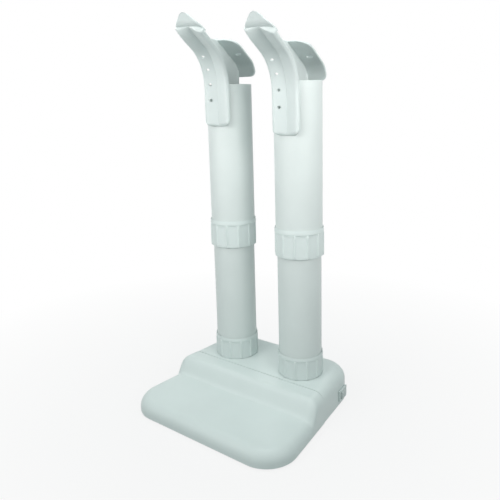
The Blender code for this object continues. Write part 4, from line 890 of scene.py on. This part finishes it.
# Studio
def straight_sight(nodes, links):
    """One where the camera looks straight at the background, or through a gloss or a clear piece."""
    path = nodes.new("ShaderNodeLightPath")
    gloss = nodes.new("ShaderNodeMath")
    gloss.operation = "MAXIMUM"
    links.new(path.outputs["Is Camera Ray"], gloss.inputs[0])
    links.new(path.outputs["Is Glossy Ray"], gloss.inputs[1])
    clear = nodes.new("ShaderNodeMath")
    clear.operation = "MAXIMUM"
    links.new(gloss.outputs["Value"], clear.inputs[0])
    links.new(path.outputs["Is Transmission Ray"], clear.inputs[1])
    return clear.outputs["Value"]


def floor():
    """A pale floor that keeps the shadow near the part and runs out to plain white."""
    made, nodes, links, shader = new_material("floor_white")
    shader.inputs["Base Color"].default_value = FLOOR_COLOUR
    shader.inputs["Roughness"].default_value = 0.9
    white = nodes.new("ShaderNodeEmission")
    white.inputs["Color"].default_value = (1.0, 1.0, 1.0, 1.0)
    mix = nodes.new("ShaderNodeMixShader")
    place = nodes.new("ShaderNodeTexCoord")
    reach = nodes.new("ShaderNodeVectorMath")
    reach.operation = "LENGTH"
    links.new(place.outputs["Object"], reach.inputs[0])
    fade = nodes.new("ShaderNodeMapRange")
    fade.inputs["From Min"].default_value = FADE_START
    fade.inputs["From Max"].default_value = FADE_END
    fade.inputs["To Min"].default_value = WHITE_SHARE
    fade.inputs["To Max"].default_value = 1.0
    links.new(reach.outputs["Value"], fade.inputs["Value"])
    share = nodes.new("ShaderNodeMath")
    share.operation = "MULTIPLY"
    links.new(straight_sight(nodes, links), share.inputs[0])
    links.new(fade.outputs["Result"], share.inputs[1])
    links.new(share.outputs["Value"], mix.inputs["Fac"])
    links.new(shader.outputs["BSDF"], mix.inputs[1])
    links.new(white.outputs["Emission"], mix.inputs[2])
    links.new(mix.outputs["Shader"], nodes["Material Output"].inputs["Surface"])
    x, y = np.meshgrid([-FLOOR_HALF, FLOOR_HALF], [-FLOOR_HALF, FLOOR_HALF])
    square = np.stack([x, y, np.zeros_like(x)], -1)
    plane = new_object("floor", mesh_from_grids("floor", [(square, False, False)]))
    plane.data.materials.append(made)


def world():
    """Even pale light, white where the camera, a gloss or a glass looks straight at it."""
    made = bpy.data.worlds.new("studio")
    bpy.context.scene.world = made
    made.use_nodes = True
    nodes = made.node_tree.nodes
    links = made.node_tree.links
    light = nodes["Background"]
    light.inputs["Color"].default_value = WORLD_COLOUR
    light.inputs["Strength"].default_value = WORLD_STRENGTH
    white = nodes.new("ShaderNodeBackground")
    white.inputs["Color"].default_value = (1.0, 1.0, 1.0, 1.0)
    white.inputs["Strength"].default_value = 1.0
    mix = nodes.new("ShaderNodeMixShader")
    links.new(straight_sight(nodes, links), mix.inputs["Fac"])
    links.new(light.outputs["Background"], mix.inputs[1])
    links.new(white.outputs["Background"], mix.inputs[2])
    links.new(mix.outputs["Shader"], nodes["World Output"].inputs["Surface"])


def softbox(name, place, aim, size, power, spread, tint):
    """A square lamp that faces a point, with its light held to a cone as a grid does."""
    data = bpy.data.lights.new(name, "AREA")
    data.shape = "SQUARE"
    data.size = size
    data.energy = power
    data.color = tint
    data.spread = math.radians(spread)
    lamp = new_object(name, data)
    lamp.location = place
    lamp.rotation_euler = (Vector(aim) - Vector(place)).to_track_quat("-Z", "Y").to_euler()


def camera():
    """The photograph's viewpoint: right of the front, level with the guides' lower parts, tilted down."""
    right = np.array([math.cos(CAMERA_AZIMUTH), math.sin(CAMERA_AZIMUTH), 0.0])
    level = np.array([-math.sin(CAMERA_AZIMUTH), math.cos(CAMERA_AZIMUTH), 0.0])
    upright = np.array([0.0, 0.0, 1.0])
    ahead = level * math.cos(CAMERA_PITCH) - upright * math.sin(CAMERA_PITCH)
    up = upright * math.cos(CAMERA_PITCH) + level * math.sin(CAMERA_PITCH)
    turned_right = right * math.cos(CAMERA_ROLL) - up * math.sin(CAMERA_ROLL)
    turned_up = right * math.sin(CAMERA_ROLL) + up * math.cos(CAMERA_ROLL)
    data = bpy.data.cameras.new("camera")
    data.sensor_width = CAMERA_SENSOR
    data.lens = CAMERA_LENS
    data.shift_y = CAMERA_SHIFT
    data.clip_start = 0.01
    made = new_object("camera", data)
    basis = Matrix((turned_right, turned_up, -ahead)).transposed().to_4x4()
    made.matrix_world = Matrix.Translation(CAMERA_PLACE) @ basis
    bpy.context.scene.camera = made


front_tray()
rear_housing()
for tube_side in SIDES:
    tubes(tube_side)
    for collar_kind in COLLARS:
        collar(tube_side, collar_kind)
    toe_guide(tube_side)
finish_solids()
floor()
world()
for lamp_values in LAMPS:
    softbox(*lamp_values)
camera()
bpy.context.scene.view_settings.view_transform = "Standard"
